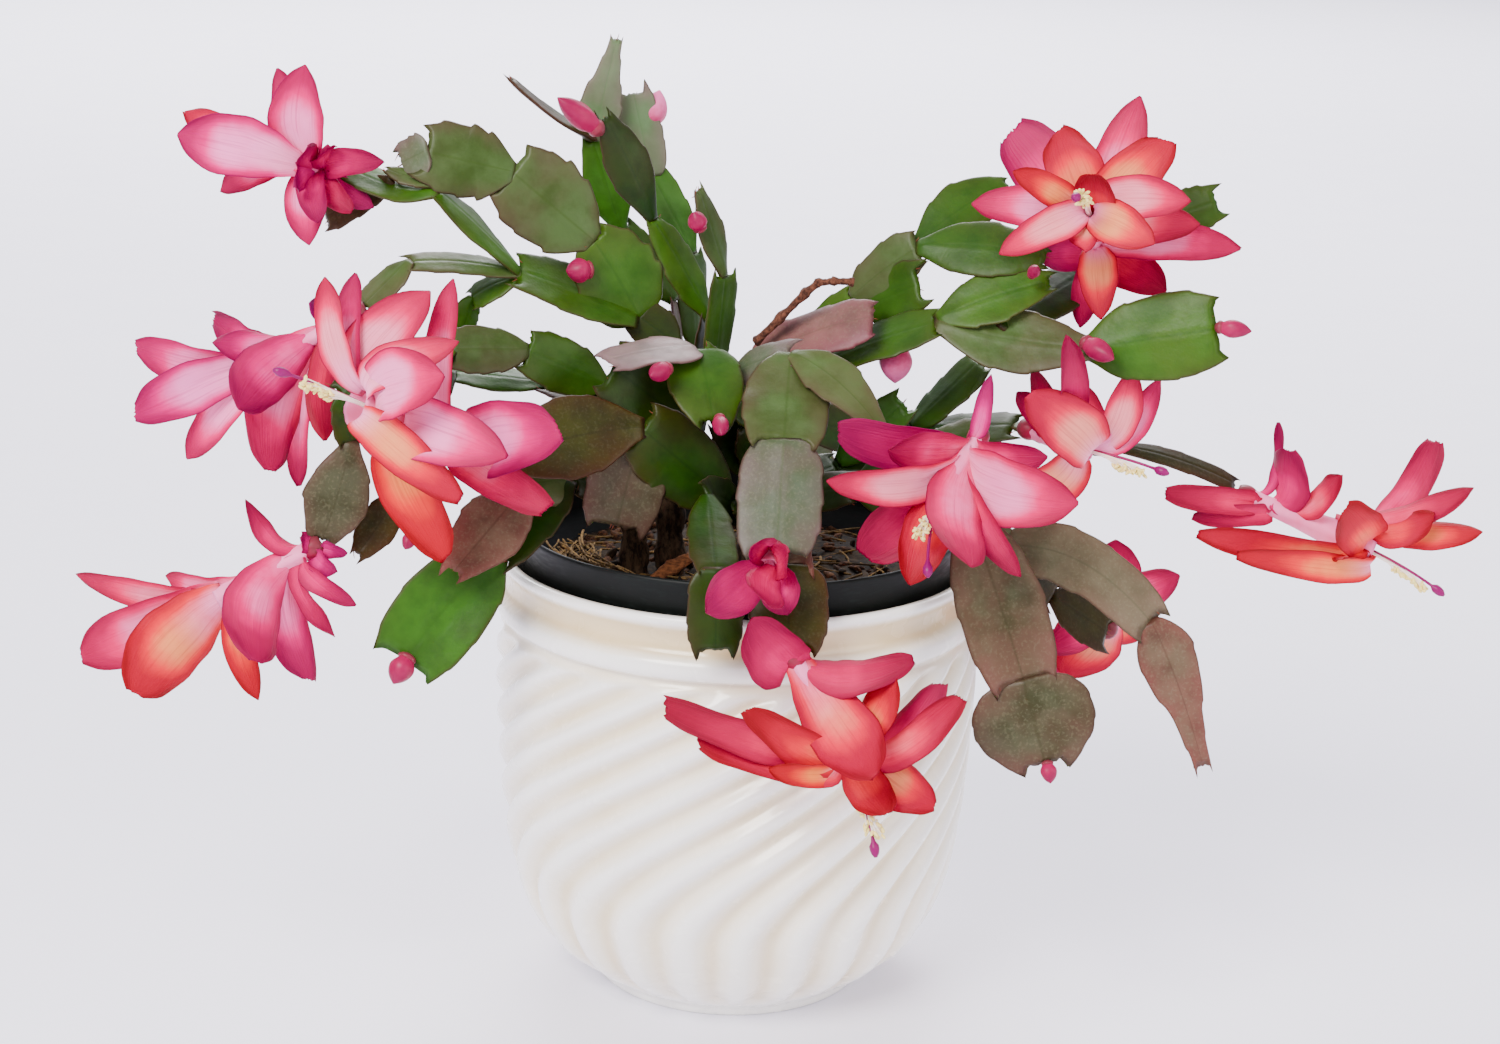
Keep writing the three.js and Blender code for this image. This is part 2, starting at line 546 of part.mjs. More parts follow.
function flower({ base, mouth, petals }, grow) {
  const from = seen(...base);
  const to = seen(...mouth);
  const tube = spindle(from, to, TUBE_OUTLINE, TUBE_RADIUS, grow);
  return petals.reduce((whole, row, i) => whole.add(petal(from, to, row, i, grow)), tube);
}

// The bundle of stamens leaves the tube, and the style goes on past it to the stigma
function stamens(mouth, { end, stigma }, grow) {
  const from = seen(...mouth);
  const to = seen(...end);
  const tip = seen(...stigma);
  const bundle = spindle(from, to, [[0, 0.6], [0.6, 0.75], [1, 1]], 2.2, grow);
  const style = spindle(to.clone().lerp(from, 0.1), tip,
    [[0, 0.5], [0.55, 0.5], [0.7, 1], [1, 0.5]], 1.3, grow, 5);
  return bundle.add(style);
}

const BUD_OUTLINE = [[0, 0.45], [0.3, 1], [0.65, 0.85], [1, 0.12]];

function barkChip(grow) {
  return blade([[-26, 122, 24, 3], [-21, 127, 23, 4.5], [-15, 130, 20, 1.5]].map(
    ([x, z, depth, half]) => {
      const point = seen(x, z, depth);
      const along = new THREE.Vector3(1, 0.3, 0.7).normalize();
      return { point, along, side: bladeSide(point, along, 20), half: half + grow, thick: 0.6 + grow };
    },
  ));
}

// Pieces are set down in order, and each one is cut back to leave the gap to those before it
const cactus = new THREE.Group();
const placed = [];

function overlaps(a, b) {
  return [0, 1, 2].every((axis) => a.min[axis] < b.max[axis] && b.min[axis] < a.max[axis]);
}

function settle(name, shape, material) {
  let solid = shape(0);
  for (const other of placed) {
    if (overlaps(solid.boundingBox(), other.box)) solid = solid.subtract(other.fuller);
  }
  const thicker = shape(GAP);
  placed.push({ fuller: thicker, box: thicker.boundingBox() });
  const mesh = new THREE.Mesh(toGeometry(mainBody(solid)), material);
  mesh.geometry.computeVertexNormals();
  mesh.name = name;
  cactus.add(mesh);
}

settle('cover_pot', coverPot, standard(COLOURS.ivory_glaze, 0.25));
settle('nursery_pot', nurseryPot, standard(COLOURS.black_plastic, 0.45));
settle('potting_soil', pottingSoil, standard(COLOURS.soil, 0.95));
settle('bark_chip', barkChip, standard(COLOURS.chip, 0.85));

for (const [name, joints] of Object.entries(STEMS)) {
  settle(name, (grow) => stem(joints, grow), standard(COLOURS.bark, 0.9));
}
for (const [name, chains] of Object.entries(BRANCHES)) {
  settle(name, (grow) => branch(chains, grow), standard(COLOURS.leaf, 0.5));
}
for (const [name, parts] of Object.entries(FLOWERS)) {
  settle(name, (grow) => flower(parts, grow), standard(COLOURS.petal, 0.55));
}
for (const [name, ends] of Object.entries(STAMENS)) {
  const shape = (grow) => stamens(FLOWERS[name].mouth, ends, grow);
  settle(`stamens_${name}`, shape, standard(COLOURS.filament, 0.6));
}
for (const [name, [root, tip, radius]] of Object.entries(BUDS)) {
  const shape = (grow) => spindle(seen(...root), seen(...tip), BUD_OUTLINE, radius, grow);
  settle(name, shape, standard(COLOURS.bud, 0.5));
}

export default cactus;
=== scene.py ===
"""The looks of a potted Christmas cactus in flower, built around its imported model.

Sizes are in millimetres in the plant's own frame: +Z up, the origin at the centre of the
pot's foot, the front towards -Y. Meshes are made in metres.
"""

import json
import logging
import math
from collections.abc import Mapping, Sequence
from dataclasses import dataclass, field
from enum import Enum
from typing import Any

import bpy
import numpy as np
from mathutils import Matrix


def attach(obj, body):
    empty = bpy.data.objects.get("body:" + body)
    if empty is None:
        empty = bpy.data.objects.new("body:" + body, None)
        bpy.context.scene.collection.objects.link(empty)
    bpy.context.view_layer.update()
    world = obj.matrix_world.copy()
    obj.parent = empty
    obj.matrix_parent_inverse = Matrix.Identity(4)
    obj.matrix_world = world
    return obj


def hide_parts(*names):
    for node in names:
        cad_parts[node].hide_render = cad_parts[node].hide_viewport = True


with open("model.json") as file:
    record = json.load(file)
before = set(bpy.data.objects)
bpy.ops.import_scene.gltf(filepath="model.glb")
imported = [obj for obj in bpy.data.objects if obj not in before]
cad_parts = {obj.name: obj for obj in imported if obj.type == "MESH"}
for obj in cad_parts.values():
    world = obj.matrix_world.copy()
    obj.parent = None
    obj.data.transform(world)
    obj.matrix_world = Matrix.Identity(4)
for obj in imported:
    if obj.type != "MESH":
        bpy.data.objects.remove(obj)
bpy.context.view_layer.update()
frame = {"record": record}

LOG = logging.getLogger("cactus")

Array = np.ndarray
Row = tuple[Any, ...]
Span = tuple[float, float]
Band = tuple[Span, Span]
Knots = Sequence[Span]

MM = 0.001
UP = np.array((0.0, 0.0, 1.0))

# The standpoint from which the plant was measured: a place is written as x and z where its
# line of sight crosses the upright plane through the pot's axis, and as its depth in front.
EYE = np.array((0.0, -744.0, 347.0))
# A segment's face turns up by this direction. It leans, so that upright ones turn up too.
LEANING_UP = np.array((0.35, 0.0, 1.0))

# How far a segment runs back into the one that bears it, in mm.
JOINT_OVERLAP = 1.2
# A flower's tube: its radius in mm, the share of its length at which a petal of place 1
# springs, and the share by which each next petal springs nearer to the base.
TUBE_RADIUS = 3.4
PETAL_ROOT = 0.88
PETAL_STEP = 0.007
# How far off the tube's middle a petal springs, in mm, where the tube's mouth doesn't flare.
PETAL_RING = 1.5
# How far a petal runs on along the tube before it bends over, as a share of its length, and
# how much its face turns from the tube's side to the standpoint.
PETAL_SPRING = 0.35
PETAL_FACING = 0.6


def unit(v: Array) -> Array:
    """Vectors scaled to length one, along the last axis."""
    return v / np.maximum(np.linalg.norm(v, axis=-1, keepdims=True), 1e-12)


def off_axis(v: Array, axis: Array) -> Array:
    """The part of vectors v that is square to the unit vectors of axis."""
    return v - axis * np.sum(v * axis, axis=-1, keepdims=True)


def turned(v: Array, axis: Array, degrees: float) -> Array:
    """Vectors turned about axes by the right-hand rule.

    Args:
        v: The vectors.
        axis: Unit vectors, one for each.
        degrees: The angle.

    Returns:
        The turned vectors.
    """
    angle = math.radians(degrees)
    along = np.sum(v * axis, axis=-1, keepdims=True)
    swept = np.cross(axis, v) * math.sin(angle)
    return v * math.cos(angle) + swept + axis * along * (1 - math.cos(angle))


def seen(x: float, z: float, depth: float) -> Array:
    """The point that is seen at x and z of the upright plane and stands depth in front."""
    flat = np.array((x, 0.0, z))
    return flat + (EYE - flat) * depth / -EYE[1]


def draws(name: str) -> np.random.Generator:
    """The random draws of a named piece, the same in each run."""
    return np.random.default_rng(sum(map(ord, name)))


def through(knots: Knots, places: Array) -> Array:
    """Values of a smooth curve through knots.

    Args:
        knots: (place, value) pairs, rising in place.
        places: Where the curve is read.

    Returns:
        One value for each place.
    """
    xs, ys = np.array(knots, float).T
    slopes = np.gradient(ys, xs)
    i = np.clip(np.searchsorted(xs, places, side="right") - 1, 0, len(xs) - 2)
    gap = xs[i + 1] - xs[i]
    t = (places - xs[i]) / gap
    rise = (ys[i + 1] - ys[i]) * t * t * (3 - 2 * t)
    start = slopes[i] * gap * t * (1 - t) ** 2
    end = slopes[i + 1] * gap * t * t * (t - 1)
    return ys[i] + rise + start + end


def step(low: float, high: float, values: Array) -> Array:
    """0 below low, 1 above high, and a smooth climb between them."""
    t = np.clip((values - low) / (high - low), 0, 1)
    return t * t * (3 - 2 * t)


def within(band: Band, values: Array) -> Array:
    """1 inside a band and 0 outside, with a smooth climb over each of its two ends."""
    return step(*band[0], values) * (1 - step(*band[1], values))


def around(sides: int) -> Array:
    """Angles of evenly spaced places in a turn, in radians."""
    return np.arange(sides) * 2 * math.pi / sides


def both_ways(columns: Sequence[float]) -> Array:
    """Places across a blade from -1 to 1, from those on one side of its middle."""
    return np.array((*(-c for c in reversed(columns)), 0.0, *columns))


def polar(reach: Array, angle: Array, height: Array) -> Array:
    """Points at a reach from the pot's axis, an angle about it and a height."""
    parts = np.broadcast_arrays(reach * np.cos(angle), reach * np.sin(angle), height)
    return np.stack(parts, -1)


def spokes(across: Array, behind: Array, sides: int) -> Array:
    """Unit vectors all round an axis, from across by way of behind.

    Args:
        across: The first spoke, or one for each row.
        behind: The same for the spoke a quarter of a turn on.
        sides: How many spokes there are.

    Returns:
        The spokes, numbered along the last axis but one.
    """
    angle = around(sides)[:, None]
    return across[..., None, :] * np.cos(angle) + behind[..., None, :] * np.sin(angle)


def sheet(mid: Array, half: Array) -> tuple[Array, list[Row], Array]:
    """A closed thin body around a grid of points.

    Args:
        mid: Points of the middle surface, rows along it and columns across it.
        half: Half its thickness at each point; the border closes whatever it says.

    Returns:
        The points, the faces, and for each point the index of its grid place.
    """
    rows, columns = half.shape
    half = half.copy()
    half[[0, -1], :] = 0
    half[:, [0, -1]] = 0
    out = unit(np.cross(np.gradient(mid, axis=0), np.gradient(mid, axis=1)))
    front = np.arange(rows * columns).reshape(rows, columns)
    back = front.copy()
    inside = (rows - 2) * (columns - 2)
    back[1:-1, 1:-1] = rows * columns + np.arange(inside).reshape(rows - 2, columns - 2)
    shift = out * half[..., None]
    points = np.concatenate([(mid + shift).reshape(-1, 3),
                             (mid - shift)[1:-1, 1:-1].reshape(-1, 3)])
    faces = []
    for i in range(rows - 1):
        for j in range(columns - 1):
            a, b, c, d = (i, j), (i + 1, j), (i + 1, j + 1), (i, j + 1)
            faces.append((front[a], front[b], front[c], front[d]))
            faces.append((back[a], back[d], back[c], back[b]))
    place = np.concatenate([front.ravel(), front[1:-1, 1:-1].ravel()])
    return points, faces, place


def loft(rings: Array) -> tuple[Array, list[Row]]:
    """A closed body through rings of points.

    Args:
        rings: The rings, which turn by the right hand about the way that the body grows.

    Returns:
        The points and the faces.
    """
    rows, sides = rings.shape[:2]
    faces: list[Row] = []
    for i in range(rows - 1):
        for j in range(sides):
            a, b = i * sides + j, i * sides + (j + 1) % sides
            faces.append((a, b, b + sides, a + sides))
    faces.append(tuple(range(sides))[::-1])
    faces.append(tuple(range((rows - 1) * sides, rows * sides)))
    return rings.reshape(-1, 3), faces


def rod(line: Array, radii: Array, sides: int = 8, hint: Array = UP) -> Array:
    """Rings of a round rod about a line.

    Args:
        line: Points of its middle.
        radii: One radius for each point, or for each point and side.
        sides: Points in a ring.
        hint: A direction that is never along the line.

    Returns:
        The rings, ready for loft.
    """
    along = unit(np.gradient(line, axis=0))
    across = unit(off_axis(np.broadcast_to(hint, along.shape), along))
    reach = np.broadcast_to(radii.reshape(len(line), -1), (len(line), sides))
    return line[:, None] + spokes(across, np.cross(along, across), sides) * reach[..., None]


def lathe(profile: Sequence[Span], sides: int = 96) -> Array:
    """Rings of a round body about the pot's axis.

    Args:
        profile: Its (radius, height) pairs.
        sides: Points in a ring.

    Returns:
        The rings, ready for loft.
    """
    reach, height = np.array(profile, float).T[..., None]
    return polar(reach, around(sides), height)


def bend(start: Array, middle: Array, end: Array, places: Array) -> Array:
    """Points of the curve that leaves start towards middle and bends over to end."""
    t = places[:, None]
    return start * (1 - t) ** 2 + middle * 2 * t * (1 - t) + end * t * t


@dataclass
class Skin:
    """A mesh in the making, in millimetres, with what each point tells its material."""

    points: list[Array] = field(default_factory=list)
    faces: list[Row] = field(default_factory=list)
    slots: list[int] = field(default_factory=list)
    marks: dict[str, list[Array]] = field(default_factory=dict)
    count: int = 0

    def add(self, points: Array, faces: Sequence[Sequence[int]], slot: int = 0,
            **marks: Array | float) -> None:
        """Adds one part of the mesh.

        Args:
            points: Its points, one row each.
            faces: Its faces, as indices into points.
            slot: Index of its material.
            **marks: Values for each point, or one for all of them, by attribute name.
        """
        size = len(points)
        for name in dict.fromkeys([*self.marks, *marks]):
            rows = self.marks.setdefault(name, [np.zeros(self.count)] if self.count else [])
            rows.append(np.broadcast_to(np.asarray(marks.get(name, 0.0), float), (size,)))
        self.points.append(points)
        self.faces.extend(tuple(int(i) + self.count for i in face) for face in faces)
        self.slots.extend([slot] * len(faces))
        self.count += size

    def add_blade(self, mid: Array, half: Array, s: Array, v: Array, slot: int = 0,
                  **marks: Array | float) -> None:
        """Adds a thin closed body whose points know their places along and across it.

        Args:
            mid: Points of its middle surface, rows along it and columns across it.
            half: Half its thickness at each of them.
            s: Places of the rows, from 0 to 1.
            v: Places of the columns, from -1 to 1.
            slot: Index of its material.
            **marks: Its other values, by attribute name.
        """
        points, faces, at = sheet(mid, half)
        along, across = (np.broadcast_to(places, half.shape).ravel()[at]
                         for places in (s[:, None], v[None]))
        self.add(points, faces, slot, along=along, across=across, **marks)

    def build(self, name: str, materials: Sequence[bpy.types.Material]) -> bpy.types.Object:
        """Makes the object, in metres, smooth shaded and linked to the scene.

        Args:
            name: Its name.
            materials: Its materials, by slot.

        Returns:
            The object.
        """
        mesh = bpy.data.meshes.new(name)
        mesh.from_pydata((np.concatenate(self.points) * MM).tolist(), [], self.faces)
        for key, rows in self.marks.items():
            values = np.concatenate(rows).astype(np.float32)
            mesh.attributes.new(key, "FLOAT", "POINT").data.foreach_set("value", values)
        for material in materials:
            mesh.materials.append(material)
        mesh.polygons.foreach_set("material_index", self.slots)
        mesh.polygons.foreach_set("use_smooth", [True] * len(self.faces))
        mesh.validate()
        mesh.update()
        made = bpy.data.objects.new(name, mesh)
        bpy.context.scene.collection.objects.link(made)
        return made


def lone(name: str, material: bpy.types.Material, mesh: tuple[Array, Sequence[Row]],
         **marks: Array | float) -> bpy.types.Object:
    """Makes an object of one part and one material.

    Args:
        name: Its name.
        material: Its material.
        mesh: Its points and faces.
        **marks: Values for each point, or one for all of them, by attribute name.

    Returns:
        The object.
    """
    skin = Skin()
    skin.add(*mesh, **marks)
    return skin.build(name, [material])


def place_in_scene(made: bpy.types.Object, right: Array, up: Array, back: Array,
                   place: Array) -> None:
    """Turns and places an object, and links it to the scene.

    Args:
        made: The object.
        right: Where its own X axis points.
        up: Where its own Y axis points.
        back: Where its own Z axis points.
        place: Where it stands, in metres.
    """
    columns = np.stack([right, up, back, place], 1)
    made.matrix_world = Matrix([*columns.tolist(), [0, 0, 0, 1]])
    bpy.context.scene.collection.objects.link(made)


def linear(colour: str) -> tuple[float, float, float, float]:
    """An sRGB hex colour as linear red, green, blue and alpha.

    Args:
        colour: The colour, as "#RRGGBB".

    Returns:
        The four values, with alpha 1.
    """
    values = (int(colour[i:i + 2], 16) / 255 for i in (1, 3, 5))
    r, g, b = (v / 12.92 if v <= 0.04045 else ((v + 0.055) / 1.055) ** 2.4 for v in values)
    return r, g, b, 1.0


def per_mm(size: float) -> float:
    """The scale of a texture whose features are about size millimetres, in metres."""
    return 1 / (size * MM)


def add(tree: bpy.types.NodeTree, kind: str, inputs: Mapping[int | str, Any] | None = None,
        out: int | str = 0, **settings: Any) -> bpy.types.NodeSocket:
    """Adds a node with its settings and links.

    Args:
        tree: The material's node tree.
        kind: The node's type name, without "ShaderNode".
        inputs: For each input, the socket that feeds it, a value or a hex colour.
        out: The output that is wanted.
        **settings: Its properties. "stops" gives a colour ramp's places and hex colours.

    Returns:
        The wanted output.
    """
    node = tree.nodes.new("ShaderNode" + kind)
    stops = settings.pop("stops", ())
    for _ in stops[2:]:
        node.color_ramp.elements.new(1.0)
    for (place, colour), element in zip(stops, node.color_ramp.elements if stops else ()):
        element.position, element.color = place, linear(colour)
    for name, value in settings.items():
        setattr(node, name, value)
    for key, value in (inputs or {}).items():
        if isinstance(value, bpy.types.NodeSocket):
            tree.links.new(value, node.inputs[key])
        else:
            node.inputs[key].default_value = linear(value) if isinstance(value, str) else value
    return node.outputs[out] if node.outputs else None


def blank(name: str) -> tuple[bpy.types.Material, bpy.types.NodeTree, bpy.types.NodeSocket]:
    """Makes a material with no nodes but one.

    Args:
        name: Its name.

    Returns:
        The material, its node tree and the socket that gives places on the object.
    """
    made = bpy.data.materials.new(name)
    made.use_nodes = True
    made.node_tree.nodes.clear()
    return made, made.node_tree, add(made.node_tree, "TexCoord", out="Object")


# Settings that many nodes share. A MapRange takes values from 1 to 2 over to 3 to 4. A Mix of
# colours has its share at 0, the colours at 6 and 7 and its result at 2.
SMOOTH = {"interpolation_type": "SMOOTHSTEP"}
COLOURED = {"data_type": "RGBA", "out": 2}


@dataclass(frozen=True)
class LeafFinish:
    """Living leaf flesh under a waxy bloom.

    The bloom gives a soft satin light instead of a shine, and the flesh lets a little light
    through at its thin edges. Sun reddens it in patches, from the edges in.
    """

    name: str
    body: str
    shade: str
    blush: str
    blushing: float
    margin: str = "#3A2016"
    fleck: float = 0.0
    fleck_tone: str = "#7C785E"
    fleck_size: float = 0.8
    mottle_size: float = 11.0
    patch_size: float = 17.0
    pore_size: float = 0.9

    def material(self) -> bpy.types.Material:
        """Makes the material.

        Returns:
            The material, which reads along, across and tone.
        """
        made, tree, place = blank(self.name)
        along = add(tree, "Attribute", out="Fac", attribute_name="along")
        across = add(tree, "Attribute", out="Fac", attribute_name="across")
        tone = add(tree, "Attribute", out="Fac", attribute_name="tone")
        side = add(tree, "Math", {0: across}, operation="ABSOLUTE")
        cloud = add(tree, "TexNoise", {"Vector": place, "Scale": per_mm(self.mottle_size),
                                       "Detail": 4.0, "Roughness": 0.6})
        mottle = add(tree, "MapRange", {0: cloud, 1: 0.35, 2: 0.68, 4: 0.85}, **SMOOTH)
        flesh = add(tree, "Mix", {0: mottle, 6: self.body, 7: self.shade}, **COLOURED)
        edge = add(tree, "MapRange", {0: side, 1: 0.35, 2: 1.1}, **SMOOTH)
        spot = add(tree, "TexNoise", {"Vector": place, "Scale": per_mm(self.patch_size),
                                      "Detail": 3.0})
        patch = add(tree, "MapRange", {0: spot, 1: 0.40, 2: 0.62}, **SMOOTH)
        tip = add(tree, "MapRange", {0: along, 1: 0.45, 2: 1.1, 4: 0.6}, **SMOOTH)
        red = add(tree, "Math", {0: edge, 1: patch}, operation="ADD")
        red = add(tree, "Math", {0: red, 1: tip}, operation="ADD")
        red = add(tree, "Math", {0: red, 1: self.blushing}, operation="MULTIPLY", use_clamp=True)
        flesh = add(tree, "Mix", {0: red, 6: flesh, 7: self.blush}, **COLOURED)
        # Each segment is a little lighter or darker than its neighbours.
        light = add(tree, "MapRange", {0: tone, 3: 0.82, 4: 1.22})
        flesh = add(tree, "Mix", {0: 1.0, 6: flesh, 7: add(tree, "CombineColor", {
            0: light, 1: light, 2: light})}, blend_type="MULTIPLY", **COLOURED)
        # Old flesh is flecked with fine pale pores.
        speck = add(tree, "TexNoise", {"Vector": place, "Scale": per_mm(self.fleck_size),
                                       "Detail": 2.0})
        speck = add(tree, "MapRange", {0: speck, 1: 0.5, 2: 0.7, 4: self.fleck}, **SMOOTH)
        flesh = add(tree, "Mix", {0: speck, 6: flesh, 7: self.fleck_tone}, **COLOURED)
        vein = add(tree, "MapRange", {0: side, 1: 0.0, 2: 0.06, 3: 0.4, 4: 0.0}, **SMOOTH)
        flesh = add(tree, "Mix", {0: vein, 6: flesh, 7: self.shade}, **COLOURED)
        # The margin is a thin corky line, and so is the joint that it grew from.
        rim = add(tree, "MapRange", {0: side, 1: 0.90, 2: 1.0, 4: 0.6}, **SMOOTH)
        joint = add(tree, "MapRange", {0: along, 1: 0.0, 2: 0.05, 3: 0.75, 4: 0.0}, **SMOOTH)
        cork = add(tree, "Math", {0: rim, 1: joint}, operation="MAXIMUM")
        flesh = add(tree, "Mix", {0: cork, 6: flesh, 7: self.margin}, **COLOURED)
        pores = add(tree, "TexNoise", {"Vector": place, "Scale": per_mm(self.pore_size),
                                       "Detail": 3.0})
        grain = add(tree, "Bump", {"Strength": 0.25, "Distance": 0.1 * MM, "Height": pores})
        swell = add(tree, "Bump", {"Strength": 0.5, "Distance": 0.8 * MM, "Height": cloud,
                                   "Normal": grain})
        add(tree, "OutputMaterial", {0: add(tree, "BsdfPrincipled", {
            "Base Color": flesh, "Normal": swell, "IOR": 1.42, "Specular IOR Level": 0.2,
            "Roughness": add(tree, "MapRange", {0: cloud, 1: 0.3, 2: 0.7, 3: 0.34, 4: 0.48}),
            "Subsurface Weight": 0.08, "Subsurface Scale": 0.7 * MM,
            "Subsurface Radius": (0.5, 1.0, 0.25)})})
        return made


class LeafTint(Enum):
    """The colourings of the plant's segments."""

    GREEN = LeafFinish("leaf_flesh_green", "#31540F", "#1E4100", "#403310", 0.16)
    # Deep green is partly the segments' own colour and partly painted shade for those inside the
    # plant.
    DEEP = LeafFinish("leaf_flesh_deep_green", "#193602", "#0A2300", "#34200A", 0.24)
    LIGHT = LeafFinish("leaf_flesh_light_green", "#326112", "#224703", "#3F4216", 0.12)
    OLIVE = LeafFinish("leaf_flesh_olive", "#41562A", "#2A3E06", "#4D3A2C", 0.30)
    PALE = LeafFinish("leaf_flesh_grey_green", "#4B5541", "#3A4628", "#62444A", 0.32, fleck=0.14)
    MAUVE = LeafFinish("leaf_flesh_mauve", "#80564F", "#584038", "#6E2E40", 0.30, fleck=0.12)
    BRONZE = LeafFinish("leaf_flesh_bronze", "#2C2C06", "#1B1800", "#3E1C0A", 0.28, fleck=0.05)
    MAROON = LeafFinish("leaf_flesh_maroon", "#5C4C3A", "#402A1E", "#6C3832", 0.40, fleck=0.16)
    SHADE = LeafFinish("leaf_flesh_shaded", "#454630", "#2B2A10", "#5A3C32", 0.42, fleck=0.14)
    UMBER = LeafFinish("leaf_flesh_umber", "#5A5A42", "#40422C", "#604438", 0.30, fleck=0.14)
    ASHEN = LeafFinish("leaf_flesh_ashen", "#7C6966", "#5F5450", "#6E4A50", 0.30, fleck=0.10)
    SILVER = LeafFinish("leaf_flesh_silvery", "#5D794F", "#4A683D", "#7A585E", 0.30)


@dataclass(frozen=True)
class PetalFinish:
    """Fresh petal: thin, moist and silky, white at its heart and deepening to its edge.

    Each petal has its own depth of colour, partly its own and partly painted shade and backlit
    glow, and leans towards orange-red or magenta.
    """

    root: str = "#F894C0"
    vein_gap: float = 0.8
    half_width: float = 6.0
    wander_size: float = 8.0

    def material(self) -> bpy.types.Material:
        """Makes the material.

        Returns:
            The material, which reads along, across, deep, hue and tone.
        """
        made, tree, place = blank("fresh_petal")
        along, across, deep, hue, tone = (
            add(tree, "Attribute", out="Fac", attribute_name=name)
            for name in ("along", "across", "deep", "hue", "tone"))
        side = add(tree, "Math", {0: across}, operation="ABSOLUTE")
        rounded = add(tree, "Math", {0: side, 1: 3.0}, operation="POWER")
        opening = add(tree, "MapRange", {0: along, 1: 0.0, 2: 0.45, 3: 0.3, 4: 1.0}, **SMOOTH)
        outward = add(tree, "Math", {0: rounded, 1: opening}, operation="MULTIPLY")
        upward = add(tree, "MapRange", {0: along, 1: 0.62, 2: 1.04, 4: 1.05}, **SMOOTH)
        cloud = add(tree, "TexNoise", {"Vector": place, "Scale": per_mm(self.wander_size),
                                       "Detail": 3.0})
        wander = add(tree, "MapRange", {0: cloud, 1: 0.3, 2: 0.7, 3: -0.10, 4: 0.10})
        depth = add(tree, "Math", {0: outward, 1: upward}, operation="ADD")
        depth = add(tree, "Math", {0: depth, 1: wander}, operation="ADD")
        # A petal's own depth of colour adds on; on some petals it is painted shade and backlit
        # glow.
        depth = add(tree, "Math", {0: deep, 1: 0.8, 2: depth}, operation="MULTIPLY_ADD")
        heart = add(tree, "ValToRGB", {0: hue}, stops=(
            (0.0, "#EE8E1C"), (0.3, "#E68C5C"), (0.5, "#F080B0"), (1.0, "#FA80CC")))
        # The heart pales to pinkish white towards the root.
        root = add(tree, "MapRange", {0: along, 1: 0.14, 2: 0.62}, **SMOOTH)
        heart = add(tree, "Mix", {0: root, 6: self.root, 7: heart}, **COLOURED)
        middle = add(tree, "ValToRGB", {0: hue}, stops=(
            (0.0, "#DC3800"), (0.3, "#E01C34"), (0.5, "#E00060"), (1.0, "#CC0088")))
        flush = add(tree, "ValToRGB", {0: hue}, stops=(
            (0.0, "#AC000E"), (0.25, "#A60024"), (0.45, "#A8003E"), (1.0, "#94005E")))
        dark = add(tree, "ValToRGB", {0: hue}, stops=(
            (0.0, "#7E0004"), (0.3, "#7C0012"), (0.5, "#7C002E"), (1.0, "#72004C")))
        first = add(tree, "MapRange", {0: depth, 1: 0.08, 2: 0.70}, **SMOOTH)
        second = add(tree, "MapRange", {0: depth, 1: 0.50, 2: 1.08}, **SMOOTH)
        third = add(tree, "MapRange", {0: depth, 1: 1.05, 2: 1.8}, **SMOOTH)
        colour = add(tree, "Mix", {0: first, 6: heart, 7: middle}, **COLOURED)
        colour = add(tree, "Mix", {0: second, 6: colour, 7: flush}, **COLOURED)
        colour = add(tree, "Mix", {0: third, 6: colour, 7: dark}, **COLOURED)
        # Fine veins run the length of a petal.
        lane = add(tree, "CombineXYZ", {
            0: add(tree, "Math", {0: across, 1: self.half_width / self.vein_gap},
                   operation="MULTIPLY"),
            1: along, 2: tone})
        veins = add(tree, "TexNoise", {"Vector": lane, "Scale": 2.0, "Detail": 2.0})
        line = add(tree, "MapRange", {0: veins, 1: 0.46, 2: 0.75, 4: 0.32}, **SMOOTH)
        colour = add(tree, "Mix", {0: line, 6: colour, 7: flush}, **COLOURED)
        # The edge itself is a thin darker line, but not near the root.
        edge = add(tree, "MapRange", {0: side, 1: 0.93, 2: 0.99, 4: 0.85}, **SMOOTH)
        free = add(tree, "MapRange", {0: along, 1: 0.12, 2: 0.45}, **SMOOTH)
        rim = add(tree, "Math", {0: edge, 1: free}, operation="MULTIPLY")
        colour = add(tree, "Mix", {0: rim, 6: colour, 7: dark}, **COLOURED)
        skin = add(tree, "Bump", {"Strength": 0.6, "Distance": 0.3 * MM, "Height": veins})
        add(tree, "OutputMaterial", {0: add(tree, "BsdfPrincipled", {
            "Base Color": colour, "Roughness": 0.45, "Normal": skin, "IOR": 1.4,
            "Specular IOR Level": 0.12, "Subsurface Weight": 0.12,
            "Subsurface Scale": 0.8 * MM, "Subsurface Radius": (1.0, 0.3, 0.4)})})
        return made


